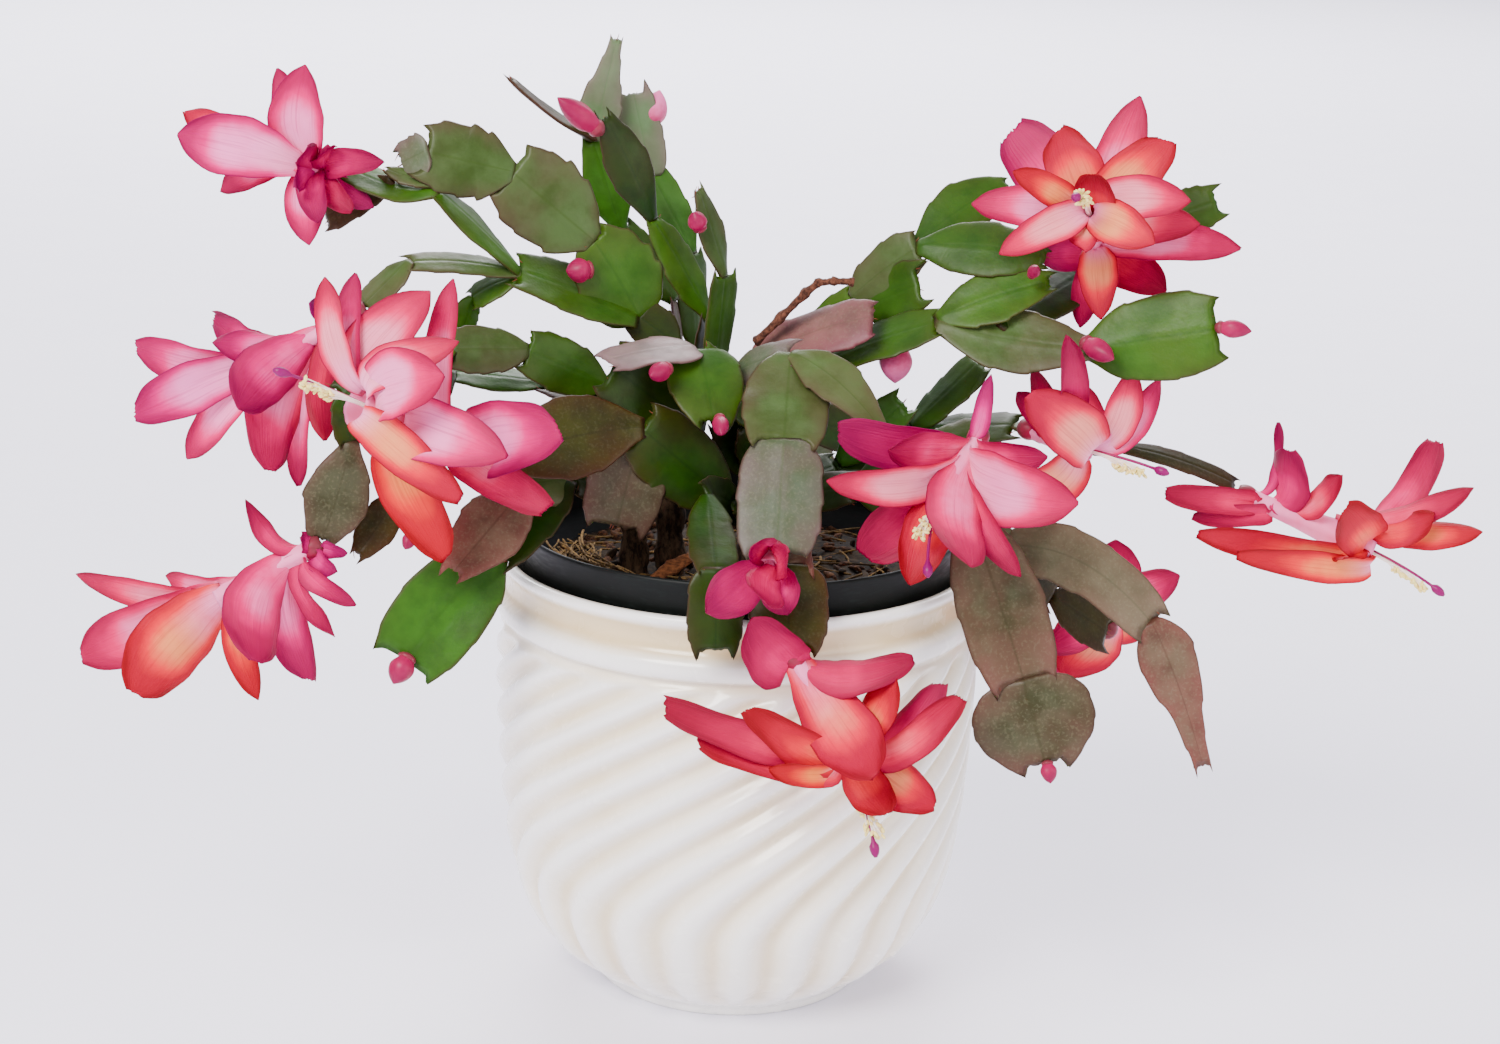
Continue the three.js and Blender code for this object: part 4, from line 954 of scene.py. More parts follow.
FLOWERS: dict[str, FlowerPlan] = {
    "flower_1": FlowerPlan((-119, 240, 14), (-130, 243.5, 20), [
        (-127.5, 271, 24, 16, 0.4, 0.2, 0.2), (-135, 270, 6, 11, 0.5, 0.4, 0.2),
        (-163, 257.5, 8, 10, 1, 0.1, -0.3), (-164, 250.5, 26, 17, 1, 0.12, 0.35),
        (-153, 234.5, 10, 9, 1, 0.4, 0.1), (-127, 219.5, 24, 12.5, 0.4, 0.2, 0.2),
        (-105, 244.5, 29, 8.5, 0.3, 0.9, 0.2), (-108, 231, 21, 8, 0.3, 0.9, 0.4),
        (-127, 248, 34, 8, 0.6, 0.9, 0.3), (-130.5, 236, 34, 8, 0.6, 0.95, 0.5),
        (-123.5, 227, 32, 9, 0.5, 0.95, 0.3, 0.3), (-120, 249, 30, 7, 0.3, 0.95, 0.2, 0.3),
        (-114.5, 230, 28, 8, 0.35, 1, 0, 0.3)]),
    "flower_2": FlowerPlan((-111, 201.5, 30), (-143, 183, 38), [
        (-156, 197, 28, 11, 0.8, 0.6, 0.4, 0.7), (-178.5, 187.5, 34, 12.5, 1, 0.05, 0.3, 0.5),
        (-155.5, 190, 46, 10, 0.7, 0.5, 0.4), (-179, 168.5, 42, 15, 1, 0.05, 0.4, 0.5),
        (-165, 154.5, 32, 11, 0.9, 0.1, 0.1), (-150, 170, 58, 17, 0.6, 0.7, 0.3),
        (-140.5, 151.5, 54, 19, 0.5, 0.35, 0.05, 0.2), (-131, 147.5, 40, 9, 0.4, 0.1, 0.1),
        (-124, 161, 50, 10, 0.2, 0.9, -0.2), (-127, 203, 44, 8, 0.25, 0.95, 0.9)]),
    "flower_3": FlowerPlan((-72, 156.5, 53), (-114, 173, 76), [
        (-122.5, 210.5, 72, 9, 1.1, 0.0, -0.15), (-113.5, 212, 60, 9, 1.08, 0.35, 0.2),
        (-92, 207.5, 64, 16.5, 1.1, 0.0, -0.1), (-85, 211, 56, 9, 0.35, 0.1, 0),
        (-84, 193, 80, 11, 1.12, 0.0, -0.15), (-88, 182.5, 90, 18.5, 1.05, -0.05, 0),
        (-70, 158.5, 92, 17, 0.8, 0.0, 0.15), (-54, 167, 78, 20.5, 0.25, 0.15, 0.35, 0.4),
        (-83, 145, 84, 12, 1.12, 0.2, -0.4, 0.35), (-87, 127, 74, 16, 0.75, 0.4, -0.7, 0.3),
        (-57.5, 142.5, 78, 12, 0.35, 0.45, -0.1, 0.6)],
        ((-128, 180, 84), (-138, 182.5, 86)), 4.5),
    "flower_4": FlowerPlan((-125, 130, 54), (-160, 110, 62), [
        (-147, 143, 58, 6.5, 0.15, 0.9, 0.1), (-114.5, 111, 64, 7, 0.15, 0.85, 0.2),
        (-131, 132, 60, 6, 0.03, 0.85, 0.5), (-120.5, 121, 62, 7, 0.06, 0.85, 0.5),
        (-117, 127, 58, 5, 0.03, 0.8, 0.6),
        (-121.5, 100.5, 60, 6, 0.2, 0.8, 0.1), (-198, 118.5, 54, 9, 1, 0.35, -0.1),
        (-172, 118, 52, 9, 0.8, 0.1, 0.1), (-198, 91.5, 66, 18, 1, 0.2, 0, 0.3),
        (-182, 81, 78, 22, 1, 0.35, -0.5, 0.3), (-146, 91, 84, 19, 0.4, 0.6, 0.15, 0.2),
        (-145, 80, 64, 10, 0.7, 0.4, -0.6), (-129, 87, 62, 14, 0.3, 0.45, 0.3, 0.5)]),
    "flower_5": FlowerPlan((101, 220.5, -5.5), (97, 239, 36), [
        (74, 259, 10, 19, 0.5, 0.3, 0.3, 0.7), (87, 259, 22, 16, 0.8, 0.35, -0.4, 0.4),
        (110, 269.5, 10, 15, 0.5, 0.15, 0), (118.5, 257, 26, 16, 0.8, 0.12, -0.45, 0.4),
        (126.5, 240, 36, 12.5, 1, 0.05, -0.15), (130, 233.5, 16, 13, 0.6, 0.35, -0.2),
        (142, 226.5, 12, 13, 0.4, 0.15, 0), (63.5, 237.5, 26, 13, 0.8, 0.05, 0.05),
        (72.5, 223, 46, 10.5, 1, 0.0, -0.2), (97, 224.5, 42, 9.5, 1, 0, -0.3),
        (116.5, 227.5, 50, 12, 1, 0.05, -0.4), (98, 246, 46, 12, 0.9, 0.9, -0.35, 0.5),
        (75, 247, 40, 9, 0.95, 0.3, -0.6), (103, 205, 26, 11, 0.5, 0.1, -0.4),
        (121.5, 213.5, 20, 13, 0.3, 0.85, -0.15), (97, 202, 10, 9, 0.35, 0.65, 0.1),
        (84, 222, 14, 10, 0.35, 0.8, 0.4)],
        ((95, 241, 48), (93, 240, 54))),
    "flower_6": FlowerPlan((70, 170, 36), (58, 148, 62), [
        (28, 169, 54, 14, 0.2, 0.95, 0.35, 0.5), (25, 154, 72, 11.5, 0.5, 0.05, -0.15),
        (43, 164, 60, 13, 0.25, 0.7, 0.1), (90, 163, 54, 10, 0.2, 0.7, 0.2),
        (68, 127, 92, 18, 0.35, 0.5, 0), (99.5, 149, 72, 20, 0.4, 0.05, 0),
        (37, 131, 58, 17, 0.7, 1, 0, 0.4), (51, 122.5, 70, 14, 0.8, 0.8, -0.4),
        (83.5, 126, 74, 8.5, 0.6, 0.85, 0), (72, 187.5, 38, 5.5, 0.2, 0.6, 0.6)],
        ((53, 139, 72), (56.5, 125, 80))),
    "flower_7": FlowerPlan((82, 172, 8), (104, 164, 26), [
        (80, 182.5, 14, 9, 0.3, 0.95, 0.1), (93.5, 200, 50, 8.5, 0.35, 0.75, 0.1),
        (84, 190, 12, 8, 0.2, 0.9, 0.1), (83.5, 182, 42, 17, 1, 0.15, -0.3, 0.3),
        (113.5, 190, 32, 11, 1, 0, -0.2), (121.6, 188, 22, 9, 1, 0.15, 0.1),
        (99.9, 185.4, 12, 13, 0.7, 0.1, -0.1), (76, 141.5, 24, 15, 0.8, 0.15, -0.35)],
        ((118, 161, 34), (126, 159, 38))),
    "flower_8": FlowerPlan((147, 154, 8), (188, 138, 16), [
        (125.3, 153, 16, 9, 0.12, 0.85, -0.1, 0.5), (134, 146, 12, 8, 0.25, 0.85, 0, 0.3),
        (136, 140.5, 22, 11, 1.08, 0.35, -0.45, 0.3), (148, 134.5, 28, 9, 1.1, 0.3, -0.6, 0.4),
        (157.2, 175.7, 6, 4, 0.15, 0.9, 0.3), (160.5, 167.5, 16, 15, 0.3, 0.85, 0.2, 0.5),
        (177, 160.5, 24, 9, 0.5, 0.65, -0.2), (179, 149, 38, 15, 1.05, 0.6, -0.5, 0.6),
        (179, 134, 30, 10, 1, 0.6, -0.6, 0.3), (204, 171, 8, 12, 1, 0.75, 0, 0.6),
        (216.5, 157.5, 27, 8.5, 0.85, 0.7, -0.15, 0), (206, 148, 26, 10, 1.05, 0.7, -0.4, 0.3),
        (220.5, 144, 24, 9.5, 1.12, 0.45, -0.55)],
        ((205, 128, 22), (211, 124, 24)), 5.5),
    "flower_9": FlowerPlan((16, 101, 84), (38, 62, 92), [
        (3.5, 109.5, 90, 18, 0.06, 1, 0.1, 0.15), (53.5, 99, 88, 12, 0.1, 1, -0.05, 0.2),
        (44, 60.5, 113, 18, 0.1, 0.55, -0.35, 0.15), (-21.2, 82, 98, 11.5, 0.7, 0.8, -0.2, 0.9),
        (-11, 72, 92, 11, 0.95, 0.6, -0.35, 0.8), (3.7, 81, 99, 12, 0.95, 0.75, -0.5, 0.4),
        (11, 62, 100, 8, 1, 0.35, -0.8), (48, 93, 90, 12, 0.9, 0.35, -0.5, 0.3),
        (62, 91.5, 84, 12, 1, 0.85, 0.05, 0.6), (68, 87.5, 92, 12, 1, 0.65, -0.25, 0.6),
        (62, 51.7, 98, 15, 1, 0.35, -0.4, 0.3), (47.5, 48.5, 104, 12, 1, 0.75, -0.5, 0.3)],
        ((44.5, 42, 100), (44.7, 34.5, 102)), 4),
    "flower_10": FlowerPlan((111, 110, 18), (112, 118, -14), [
        (112, 138.5, -14, 16, 0.8, 0.35, 0.1), (131.5, 128, -12, 13, 0.8, 0.3, 0.1),
        (98, 95.5, 4, 20, 0.6, 0.1, -0.35), (93, 103, 6, 12, 0.5, 0.5, 0.1),
        (120, 107, -8, 15, 0.6, 0.2, -0.4), (88, 92, -12, 12, 0.9, 0.5, 0.2),
        (112, 128, -30, 12, 1, 0.3, 0), (126, 112, -28, 12, 1, 0.4, -0.2),
        (75, 86, 4, 9, 0.7, 0.6, 0.2)]),
    "flower_11": FlowerPlan((10.5, 133, 75), (8, 124, 88), [
        (-9.5, 112, 94, 13, 0.6, 1.15, 0.3), (15, 112, 90, 11, 0.6, 0.9, 0.25),
        (14, 131, 98, 10, 0.3, 0.9, 0), (9, 115, 102, 12, 0.8, 1, 0.05),
        (4, 133, 94, 9, 0.2, 0.85, 0.2)]),
}

# Buds: root and tip as (x, z, depth), and the radius
BUDS: dict[str, Row] = {
    "bud_1": ((-43.5, 255, 6), (-55.5, 264, 12), 3.3),
    "bud_2": ((-29.5, 256, -24), (-26.5, 267, -24), 3.8),
    "bud_3": ((-14, 227.5, 12), (-16, 232.5, 15), 2.6),
    "bud_4": ((-45.5, 214.8, 14), (-52.5, 214.3, 18), 3.4),
    "bud_5": ((-22.5, 186.5, 42), (-27.5, 184, 50), 2.6),
    "bud_6": ((-7, 172, 44.5), (-6.3, 167, 54), 2.2),
    "bud_7": ((98.5, 198, 33), (107.5, 193, 42), 2.9),
    "bud_8": ((137, 203.5, 41), (147, 202.5, 44), 2.4),
    "bud_9": ((44, 196, 12), (44, 184, 12), 4.6),
    "bud_10": ((95.5, 67.5, 69), (97, 60.5, 72), 2.2),
    "bud_11": ((-99, 95.5, 61), (-103.5, 86.5, 66), 3.4),
    "bud_12": ((82, 217, 22), (83.5, 219.5, 27), 1.7),
    "bud_13": ((-97.5, 134, 50), (-99.7, 129, 54), 1.9),
}
FADED_BUDS = ("bud_2", "bud_9")


SLOTS = {part["node"]: part["material_slot"] for part in frame["record"]["subparts"]}


def settle(piece: bpy.types.Object, cad_node: str) -> bpy.types.Object:
    """Puts a piece in place of a CAD node: it rides on the plant, and the node is hidden.

    Args:
        piece: The piece's object.
        cad_node: Name of the node that it stands for.

    Returns:
        The piece.
    """
    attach(piece, "root")
    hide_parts(cad_node)
    LOG.info("%s stands for %s: %d faces", piece.name, cad_node, len(piece.data.polygons))
    return piece


@dataclass
class CoverPot:
    """The glazed outer pot: lip, cove, bead, swirled grooves and a plain foot.

    A groove leaves the foot upright and bends over to its full climb, in degrees a millimetre,
    above bend_height. The bands are heights where each starts and ends, with a climb to it.
    Grooves, cove and crease turn beige by the three shares, partly pooled glaze and partly painted
    shade.
    """

    height: float = 132.0
    foot_radius: float = 40.6
    floor: float = 7.5
    ribs: int = 24
    per_rib: int = 14
    pitch: float = 1.6
    groove: float = 3.0
    narrowing: float = 1.15
    swell: float = 0.35
    phase: float = -94.4
    bend_height: float = 30.0
    bend_reach: float = 24.0
    climb: float = 1.45
    bead_height: float = 112.0
    grooved_band: Band = ((3.6, 10.0), (107.5, 112.2))
    cove_band: Band = ((118.0, 122.0), (127.0, 130.5))
    crease_band: Band = ((109.0, 112.0), (113.0, 114.5))
    pooling_and_shade: tuple[float, float, float] = (0.85, 1.25, 0.7)
    inner_pool_and_shade: float = 0.4

    def outside(self) -> list[tuple[float, float]]:
        """The outer profile as (radius, height), from the foot to the top of the lip."""
        return [(self.foot_radius, 0.0), (41.2, 0.5), (41.5, 2.6), (42.2, 3.4), (45, 5.0),
                (49.2, 8.0), (53, 11.0), (56.8, 14.6), (60, 19), (62.9, 24.5), (65, 30),
                (66.9, 37), (68.4, 45), (69.6, 55), (70.5, 65), (71.2, 77), (71.7, 90),
                (71.8, 100), (71.4, 107), (70.6, 110.6), (69.4, 112.0), (69.1, 113.0),
                (69.9, 113.7), (71.1, 114.3), (71.9, 115.6), (72.1, 117.2), (71.8, 118.8),
                (70.8, 120.0), (69.5, 120.8), (68.8, 122.2), (68.5, 124.0), (68.7, 126.0),
                (69.5, 127.8), (70.6, 129.2), (71.2, 130.2), (71.2, 131.2), (70.7, 131.8),
                (70.0, self.height)]

    def inside(self) -> list[tuple[float, float]]:
        """The inner profile, from the top of the lip down to the floor."""
        return [(69.2, self.height), (68.4, 131.8), (67.9, 131.2), (67.4, 129.5), (67.2, 127.0),
                (67.5, 110), (67.7, 90), (66.4, 65), (64.4, 45), (60.8, 30), (55.4, 18),
                (48.5, 10.5), (44.5, self.floor), (30.0, self.floor), (6.0, self.floor)]

    def build(self) -> bpy.types.Object:
        """Builds the pot's mesh with its glaze.

        Returns:
            The pot.
        """
        out, inn = self.fine(self.outside()), np.array(self.inside())
        turn = around(self.ribs * self.per_rib)
        height = out[:, 1:2]
        above = np.maximum(height - self.bend_height, 0)
        twist = self.climb * (np.hypot(above, self.bend_reach) - self.bend_reach)
        twist = np.minimum(twist, twist[np.searchsorted(height[:, 0], self.bead_height)])
        # Ribs are round-backed, with a narrower groove between them. They fade out at the
        # foot in scallops and run under the bead at the top.
        groove = (0.5 + 0.5 * np.cos(turn * self.ribs)[None]) ** self.narrowing
        fade = within(self.grooved_band, height)
        reach = out[:, :1] - self.groove * groove * fade + self.swell * fade
        outer = polar(reach, turn[None] + np.radians(self.phase + twist), height)
        inner = polar(inn[:, :1], turn[None] + np.radians(self.phase + twist[-1]), inn[:, 1:2])
        # Painted shade and pooled glaze: beige in the grooves, the cove, the crease and, by its
        # own share, inside.
        in_groove, in_cove, in_crease = self.pooling_and_shade
        pool_and_shade = (in_groove * groove * fade + in_cove * within(self.cove_band, height)
                  + in_crease * within(self.crease_band, height))
        hollow = np.concatenate([pool_and_shade, np.full((len(inn), turn.size), self.inner_pool_and_shade)])
        body = lone("cover_pot_glazed", GLAZE.material(), loft(np.concatenate([outer, inner])),
                    hollow=hollow.ravel())
        return settle(body, "cover_pot")

    def fine(self, profile: Sequence[tuple[float, float]]) -> Array:
        """A profile with extra points, so that they stand no further than a pitch apart.

        Args:
            profile: Its corners, as (radius, height).

        Returns:
            All its points, one row each.
        """
        out = [np.array(profile[0], float)]
        for point in np.array(profile[1:], float):
            start = out[-1]
            count = max(1, math.ceil(np.linalg.norm(point - start) / self.pitch))
            out += [start + (point - start) * k / count for k in range(1, count + 1)]
        return np.array(out)


@dataclass
class NurseryPot:
    """The thin plastic pot that stands in the cover pot, with its turned-over collar."""

    rim_height: float = 141.0
    rim_radius: float = 66.0
    wall: float = 1.3
    collar: float = 14.5
    base: float = 7.8
    base_radius: float = 42.5

    def build(self) -> bpy.types.Object:
        """Builds the pot's mesh with its plastic.

        Returns:
            The pot.
        """
        top, r, low = self.rim_height, self.rim_radius, self.rim_height - self.collar
        floor = self.base + self.wall
        profile = [(2, self.base), (self.base_radius - 0.5, self.base),
                   (self.base_radius, self.base + 0.5), (r - 4, low), (r - 1, low + 0.3),
                   (r - 0.8, low + 0.9), (r - 0.5, low + 6), (r - 0.2, top - 1.6),
                   (r, top - 0.9), (r - 0.2, top - 0.3), (r - 0.6, top), (r - 1, top - 0.05),
                   (r - 1.2, top - 0.5), (r - 1.4, top - 2.5), (r - 1.8, low + 6),
                   (r - 2.1, low + 2), (r - 4 - self.wall, low),
                   (self.base_radius - self.wall, floor), (2, floor)]
        body = lone("nursery_pot_moulded", PLASTIC.material(), loft(lathe(profile)))
        return settle(body, "nursery_pot")


@dataclass
class PottingSoil:
    """The soil with its crumbly top, bark, straw and grit.

    Its top falls by a dome's height from its middle to the wall. A heap of fibres lies along
    the pot's wall, heap_bearing degrees round from the right.
    """

    height: float = 128.6
    radius: float = 59.4
    bottom: float = 9.6
    bottom_radius: float = 40.5
    dome: float = 3.4
    lump: float = 0.55
    grit: float = 0.28
    sides: int = 120
    strewn_radius: float = 57.0
    wall_radius: float = 58.0
    crumbs: int = 420
    crumb_size: Span = (0.9, 3.0)
    crumb_girth: tuple[float, ...] = (0.35, 0.9, 1.0, 0.8, 0.3)
    bark_share: float = 0.6
    loose_straws: int = 70
    heaped_straws: int = 110
    straw_half: Span = (4.0, 10.0)
    straw_radius: Span = (0.22, 0.42)
    heap_bearing: float = 172.0
    heap_height: float = 5.4
    seed: int = 31

    def top(self, x: Array, y: Array) -> Array:
        """The height of the soil's top.

        Args:
            x: Places to the right.
            y: Places to the back.

        Returns:
            One height for each place.
        """
        r = np.hypot(x, y)
        # Crossed waves, from lumps 20 mm long down to crumbs of 2 mm.
        lumps = (np.sin(x * 0.31 + 1.3) * np.cos(y * 0.27 - 0.4)
                 + 0.6 * np.sin(x * 0.73 + y * 0.61)
                 + 0.4 * np.sin(x * 1.7 - y * 1.3 + 2.0) + 0.3 * np.cos(x * 2.9 + y * 2.3))
        return (self.height - self.dome * step(36, 60, r)
                + self.lump * lumps * (1 - step(57, 60, r)))

    def build(self) -> bpy.types.Object:
        """Builds the soil body and what lies on it.

        Returns:
            The soil.
        """
        rng = np.random.default_rng(self.seed)
        radii = np.concatenate([[1.0, 3], np.arange(6, 58, 2.0), [self.radius]])[::-1, None]
        turn = around(self.sides)
        x, y = radii * np.cos(turn), radii * np.sin(turn)
        z = self.top(x, y) + rng.normal(0, self.grit, x.shape) * (radii < self.wall_radius)
        below = lathe([(3, self.bottom), (self.bottom_radius, self.bottom),
                       (self.radius - 0.1, 122)], self.sides)
        skin = Skin()
        skin.add(*loft(np.concatenate([below, np.stack([x, y, z], -1)])), tone=0.5)
        for _ in range(self.crumbs):
            self.crumb(skin, rng)
        for heaped in (False,) * self.loose_straws + (True,) * self.heaped_straws:
            self.straw(skin, rng, heaped)
        body = skin.build("potting_soil_surface",
                          [PEAT.material(), BARK.material(), STRAW.material()])
        return settle(body, "potting_soil")

    def on_top(self, r: float, bearing: float) -> Array:
        """The point of the soil's top at a radius and a bearing in radians."""
        x, y = r * math.cos(bearing), r * math.sin(bearing)
        return np.array((x, y, float(self.top(np.array(x), np.array(y)))))

    def crumb(self, skin: Skin, rng: np.random.Generator) -> None:
        """Adds a crumb of bark or peat, half sunk in the soil.

        Args:
            skin: The soil's mesh.
            rng: The soil's random draws.
        """
        r, bearing = self.strewn_radius * math.sqrt(rng.random()), rng.random() * 2 * math.pi
        size = rng.uniform(*self.crumb_size)
        lie = unit(rng.normal(size=3) * (1, 1, 0.35))
        line = (self.on_top(r, bearing) + UP * size * 0.1
                + lie * size * np.linspace(-1.1, 1.1, 5)[:, None])
        girth = np.array(self.crumb_girth)[:, None] * size * 0.5
        radii = girth * rng.uniform(0.6, 1.25, (5, 6))
        mesh = loft(rod(line, radii, 6, np.array((0.3, 0.2, 1.0))))
        skin.add(*mesh, int(rng.random() < self.bark_share), tone=rng.random())

    def straw(self, skin: Skin, rng: np.random.Generator, heaped: bool) -> None:
        """Adds a bent straw.

        Args:
            skin: The soil's mesh.
            rng: The soil's random draws.
            heaped: Whether it lies in the heap, or else anywhere and flat.
        """
        r, bearing = rng.uniform(20, self.strewn_radius), rng.random() * 2 * math.pi
        if heaped:
            r, bearing = r * 0.35 + 37, math.radians(self.heap_bearing) + bearing * 0.16
        middle = self.on_top(r, bearing) + UP * (0.6 + self.heap_height * rng.random() * heaped)
        lie = unit(rng.normal(size=3) * (1.0, 0.6, 0.06))
        if heaped:
            lie = unit(lie * 0.35 + (-math.sin(bearing), math.cos(bearing), -0.04))
        half = rng.uniform(*self.straw_half)
        side = np.cross(lie, UP) * rng.uniform(-1.5, 1.5)
        t = np.linspace(-1, 1, 7)[:, None]
        line = middle + lie * half * t + side * (1 - t * t)
        # Its ends stay inside the pot's wall.
        reach = np.hypot(line[:, :1], line[:, 1:2])
        line[:, :2] *= np.minimum(1, self.wall_radius / np.maximum(reach, 1))
        mesh = loft(rod(line, np.full(7, rng.uniform(*self.straw_radius)), 5))
        skin.add(*mesh, 2, tone=rng.random())


@dataclass
class BarkChip:
    """The dry orange-brown chip that lies in front of the middle stem.

    Its joints are (x, z, depth, half width).
    """

    joints: tuple[Row, ...] = ((-26, 121.5, 24, 1.3), (-20.5, 125.5, 23, 2.6),
                               (-13.5, 129.8, 20, 1.2))
    half_thickness: float = 0.5
    curl: float = 0.8
    roughness: float = 0.06
    rows: int = 18
    columns: int = 9
    seed: int = 5

    def build(self) -> bpy.types.Object:
        """Builds the chip's mesh: a curled flake with torn ends.

        Returns:
            The chip.
        """
        rng = np.random.default_rng(self.seed)
        line = np.array([seen(x, z, depth) for x, z, depth, _ in self.joints])
        places, joint = np.linspace(0, 2, self.rows), range(len(self.joints))
        line = np.stack([np.interp(places, joint, line[:, k]) for k in range(3)], -1)
        half = np.interp(places, joint, [row[3] for row in self.joints])
        half *= rng.uniform(0.86, 1.05, len(half))
        along = unit(np.array((1.0, 0.3, 0.7)))
        side = unit(np.cross(along, off_axis(EYE - line[self.rows // 2], along)))
        v = np.linspace(-1, 1, self.columns)
        out = np.cross(side, along)
        rough = rng.normal(0, self.roughness, (self.rows, self.columns, 1))
        mid = (line[:, None] + side * v[None, :, None] * half[:, None, None]
               + out * (rough - v[None, :, None] ** 2 * self.curl))
        points, faces, _ = sheet(mid, np.full(mid.shape[:2], self.half_thickness))
        chip = lone("bark_chip_dry", CHIP.material(), (points, faces), tone=0.6)
        return settle(chip, "bark_chip")


@dataclass
class WoodyStem:
    """An old stem segment turned to wood, ridged and scarred.

    Its joints are (x, z, depth, radius). It ends a little under the soil's top.
    """

    name: str
    joints: list[Row]
    sides: int = 20
    rows: int = 40
    lowest: float = 118.0
    girth: float = 0.92
    scar: float = 0.035

    def build(self) -> bpy.types.Object:
        """Builds the stem's mesh.

        Returns:
            The stem.
        """
        rng = np.random.default_rng(len(self.name) + int(abs(self.joints[0][0])))
        knots = np.array([(*seen(x, z, depth), radius) for x, z, depth, radius in self.joints])
        t = np.linspace(0, 1, self.rows)
        s = np.linspace(0, 1, len(knots))
        line = np.stack([through(list(zip(s, knots[:, k])), t) for k in range(3)], -1)
        line = line[line[:, 2] > self.lowest]
        radius = np.interp(np.linspace(0, 1, len(line)), s, knots[:, 3])
        angle = around(self.sides)
        ridges = 0.10 * np.cos(3 * angle + 1.0) + 0.05 * np.cos(7 * angle)
        swell = 0.12 * np.cos(np.arange(len(line)) * 0.55)[:, None]
        rough = rng.normal(0, self.scar, (len(line), self.sides))
        radii = radius[:, None] * self.girth * (1 + ridges + swell + rough)
        mesh = loft(rod(line, radii, self.sides, np.array((1.0, 0.0, 0.0))))
        stem = lone(self.name + "_bark", WOOD.material(), mesh, tone=rng.random())
        return settle(stem, self.name)


